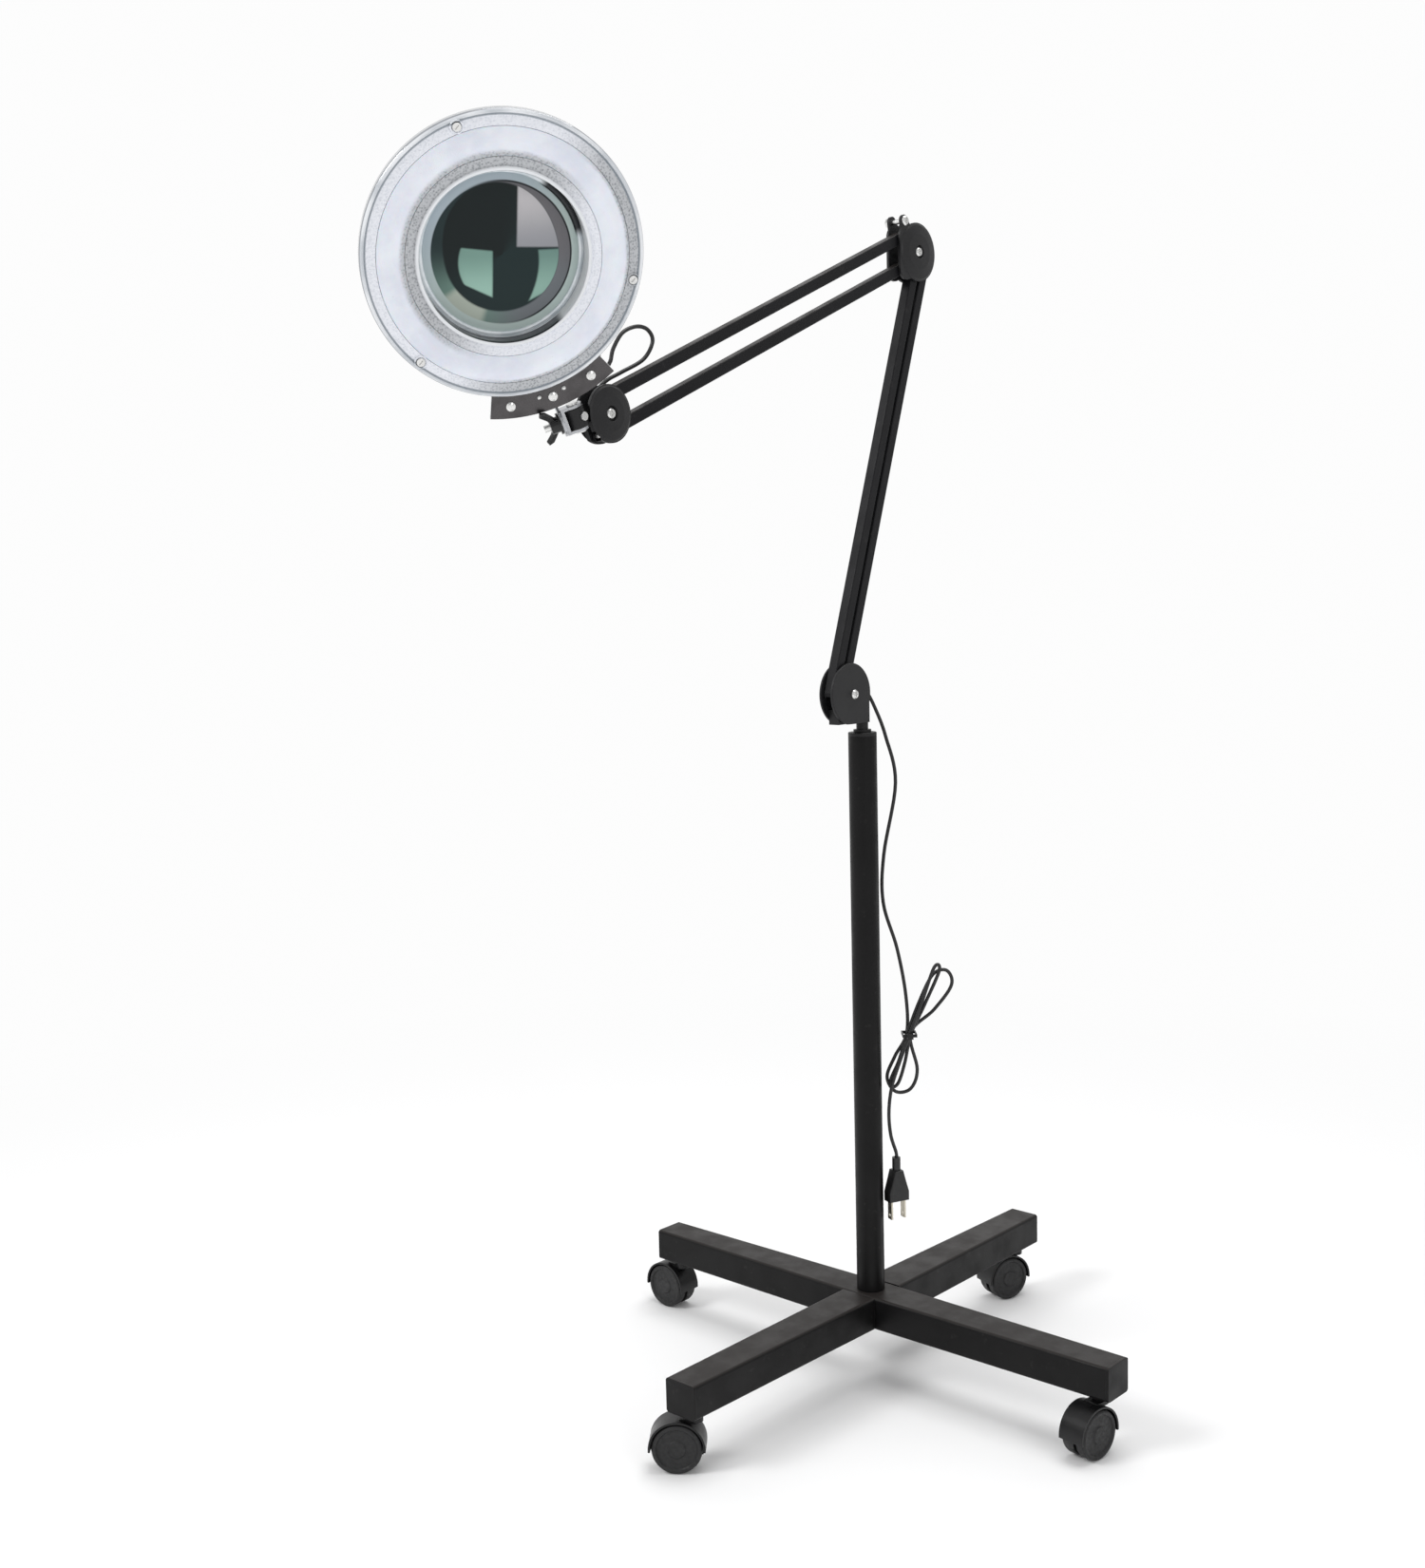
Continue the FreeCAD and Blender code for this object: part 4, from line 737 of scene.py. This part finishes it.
CORD_R = 1.5
CORD_SIDE = math.radians(42.5)      # direction of the hanging cord from the pole


def beside_pole(out, side, z):
    """Point beside the pole, mm: out along the cord's direction, side across it."""
    x = out * math.cos(CORD_SIDE) - side * math.sin(CORD_SIDE)
    y = out * math.sin(CORD_SIDE) + side * math.cos(CORD_SIDE)
    return Vector((x, y, z)) * MM


# the mains cable: its way out of the lower joint as (x, y, z), then the drop, the two loops of the bundle
# and the tail to the plug as (out, side, z), all in mm
LEAD = [(0, -9, 603), (0, -2, 601.5), (1, 5, 594), (5, 11, 580), (12, 16, 556)]
DROP = [(27.5, 3.0, 516), (16.8, 3.0, 455), (15.8, 3.6, 414), (27, 4.0, 374), (34, 4.0, 333),
        (34.3, 4.0, 300)]
WIDE_LOW = [(24, 4.0, 280), (17, 4.0, 262), (24, 4.0, 249), (37, 4.0, 251), (43, 4.0, 268)]
WIDE_HIGH = [(37.7, 4.0, 300), (58, 4.0, 320), (73, 3.6, 341), (69, 2.6, 354), (57, 1.6, 351),
             (45, 0.6, 328)]
NARROW_LOW = [(34.3, 0.4, 300), (27, 0.4, 277), (20, 0.4, 261), (21, 0.4, 254), (26.5, 0.4, 258),
              (32, 0.4, 275)]
NARROW_HIGH = [(37.7, 0.4, 300), (49, -1.2, 325), (62, -2.2, 355), (57.5, -3.2, 358), (46, -3.4, 326)]
TAIL = [(36.0, -3.3, 300), (27, -3.3, 276), (20, -3.3, 254), (17.5, -3.0, 232), (19, -2.0, 212),
        (23.5, 0.0, 196), (23.5, 0.0, 189), (23.5, 0.0, 182)]
points = [Vector(p) * MM for p in LEAD]
points += [beside_pole(*p) for p in DROP + WIDE_LOW + WIDE_HIGH + NARROW_LOW + NARROW_HIGH + TAIL]
cord = tube("mains_cord", smooth_path(points), CORD_R * MM, CORD)
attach(cord, "arm_base")
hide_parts("mains_cable")

# the head's cable: a loop from the far side of the wrist, then a length up to the gland
GLAND = (44.0, -62.0)               # where it leaves the shell's back, mm in the head's frame
PATH_STEPS = 8                      # steps of smooth_path between two points
leaving = [HEAD @ (Vector((*GLAND, HEAD_BACK + h)) * MM) for h in (1.0, -5.0, -12.0)]
LOOP = [(-6, -286, 843), (-7, -277, 846), (-7, -273, 856), (-7, -263, 868), (-7.5, -248, 873.5),
        (-8, -236, 872), (-8.5, -231, 864), (-9.5, -240, 851), (-10.5, -262, 840.5),
        (-11.5, -276, 834), (-12.8, -287, 825), (-12.4, -290.6, 819), (-10.4, -291.3, 816.6),
        (-8.2, -291.5, 816.0)]
head_path = smooth_path(leaving + [Vector(p) * MM for p in LOOP], PATH_STEPS)
# the two lengths meet at the step halfway between the gland and the loop
middle = len(leaving) * PATH_STEPS - PATH_STEPS // 2
near_head = tube("head_cord_upper", head_path[:middle + 1], CORD_R * MM, CORD, cap=False)
near_wrist = tube("head_cord_loop", head_path[middle:], CORD_R * MM, CORD, cap=False)
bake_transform(near_head)
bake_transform(near_wrist)
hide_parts("head_cable")


# ---- stage: pale sweep, soft boxes, camera -------------------------------------------------------

SWEEP_NEAR = -6.0                   # where the paper begins, behind the camera, m
SWEEP_FAR = 3.2                     # where it starts to curve up
SWEEP_BEND = 1.6                    # radius of the curve
SWEEP_TOP = 7.0
SWEEP_HALF = 9.0                    # half its width
BEND_STEPS = 12


def sweep():
    """Floor that curves up into a backdrop behind the lamp, seen from the camera."""
    bm = bmesh.new()
    profile = [(SWEEP_NEAR, 0.0), (SWEEP_FAR, 0.0)]
    for i in range(1, BEND_STEPS + 1):
        a = math.radians(90 * i / BEND_STEPS)
        profile.append((SWEEP_FAR + SWEEP_BEND * math.sin(a), SWEEP_BEND - SWEEP_BEND * math.cos(a)))
    profile.append((SWEEP_FAR + SWEEP_BEND, SWEEP_TOP))
    rows = [[bm.verts.new((x, y, z)) for x in (-SWEEP_HALF, SWEEP_HALF)] for y, z in profile]
    for a, b in zip(rows, rows[1:]):
        bm.faces.new((a[0], a[1], b[1], b[0]))
    mesh = bpy.data.meshes.new("sweep")
    bm.to_mesh(mesh)
    bm.free()
    s = Shader("sweep_paper")
    split = s.add("ShaderNodeSeparateXYZ")
    s.put(split.inputs["Vector"], s.coords)
    x, y = split.outputs["X"], split.outputs["Y"]
    away = s.maths("SQRT", s.maths("ADD", s.maths("MULTIPLY", x, x), s.maths("MULTIPLY", y, y)))
    # paper that takes the lamp's shadow near the base and glows evenly white further out
    glow = s.spread(away, 0.45, 1.5)
    paper_white = s.mix(s.noise(0.6), (0.86, 0.86, 0.865), (0.88, 0.88, 0.88))
    base = s.mix(glow, paper_white, (0.0, 0.0, 0.0))
    node = s.surface(Base_Color=base, Roughness=0.8, Specular_IOR_Level=0.0,
                     Emission_Color=(1.0, 1.0, 1.0), Emission_Strength=s.maths("MULTIPLY", glow, 0.98))
    paper = s.finish(node)
    piece = link("sweep", mesh, paper, Matrix.Rotation(VIEW_YAW, 4, "Z"), 180.0)


CAMERA_AT = Vector((0.9403, -1.2135, 0.6961))
VIEW_YAW = 0.7418                   # the camera looks this far left of +Y, radians
VIEW_DOWN = 0.1151                  # and this far below level
VIEW_ROLL = -0.025
FRAME_PIXELS = 1650.0
FOCAL_PIXELS = 1928.45

sweep()
camera_data = bpy.data.cameras.new("camera")
camera_data.sensor_width = 36.0
camera_data.lens = FOCAL_PIXELS / FRAME_PIXELS * camera_data.sensor_width
camera = bpy.data.objects.new("camera", camera_data)
bpy.context.scene.collection.objects.link(camera)
ahead = Vector((-math.sin(VIEW_YAW) * math.cos(VIEW_DOWN), math.cos(VIEW_YAW) * math.cos(VIEW_DOWN),
                -math.sin(VIEW_DOWN)))
right = Vector((math.cos(VIEW_YAW), math.sin(VIEW_YAW), 0))
above = right.cross(ahead)
right_rolled = right * math.cos(VIEW_ROLL) + above * math.sin(VIEW_ROLL)
above_rolled = above * math.cos(VIEW_ROLL) - right * math.sin(VIEW_ROLL)
camera.matrix_world = frame_matrix(CAMERA_AT, right_rolled, above_rolled, -ahead)
bpy.context.scene.camera = camera


LIGHT_AIM = Vector((0.0, -0.1, 0.55))       # about the middle of the lamp


def soft_box(name, at, size, power):
    """White square light of a size in metres and a power in watts, turned to the lamp."""
    data = bpy.data.lights.new(name, "AREA")
    data.shape = "RECTANGLE"
    data.size = size
    data.size_y = size
    data.energy = power
    light = bpy.data.objects.new(name, data)
    light.location = at
    light.rotation_euler = (LIGHT_AIM - Vector(at)).to_track_quat("-Z", "Y").to_euler()
    bpy.context.scene.collection.objects.link(light)


soft_box("key", (-1.1, -2.4, 2.4), size=1.0, power=42.0)
soft_box("fill", (2.9, -0.9, 1.7), size=1.2, power=14.0)
soft_box("top", (0.2, 0.4, 3.2), size=1.8, power=40.0)

world = bpy.data.worlds.new("studio")
bpy.context.scene.world = world
world.use_nodes = True
background = world.node_tree.nodes["Background"]
background.inputs["Color"].default_value = (1.0, 1.0, 1.0, 1.0)
background.inputs["Strength"].default_value = 0.55

bpy.context.scene.view_settings.view_transform = "Standard"
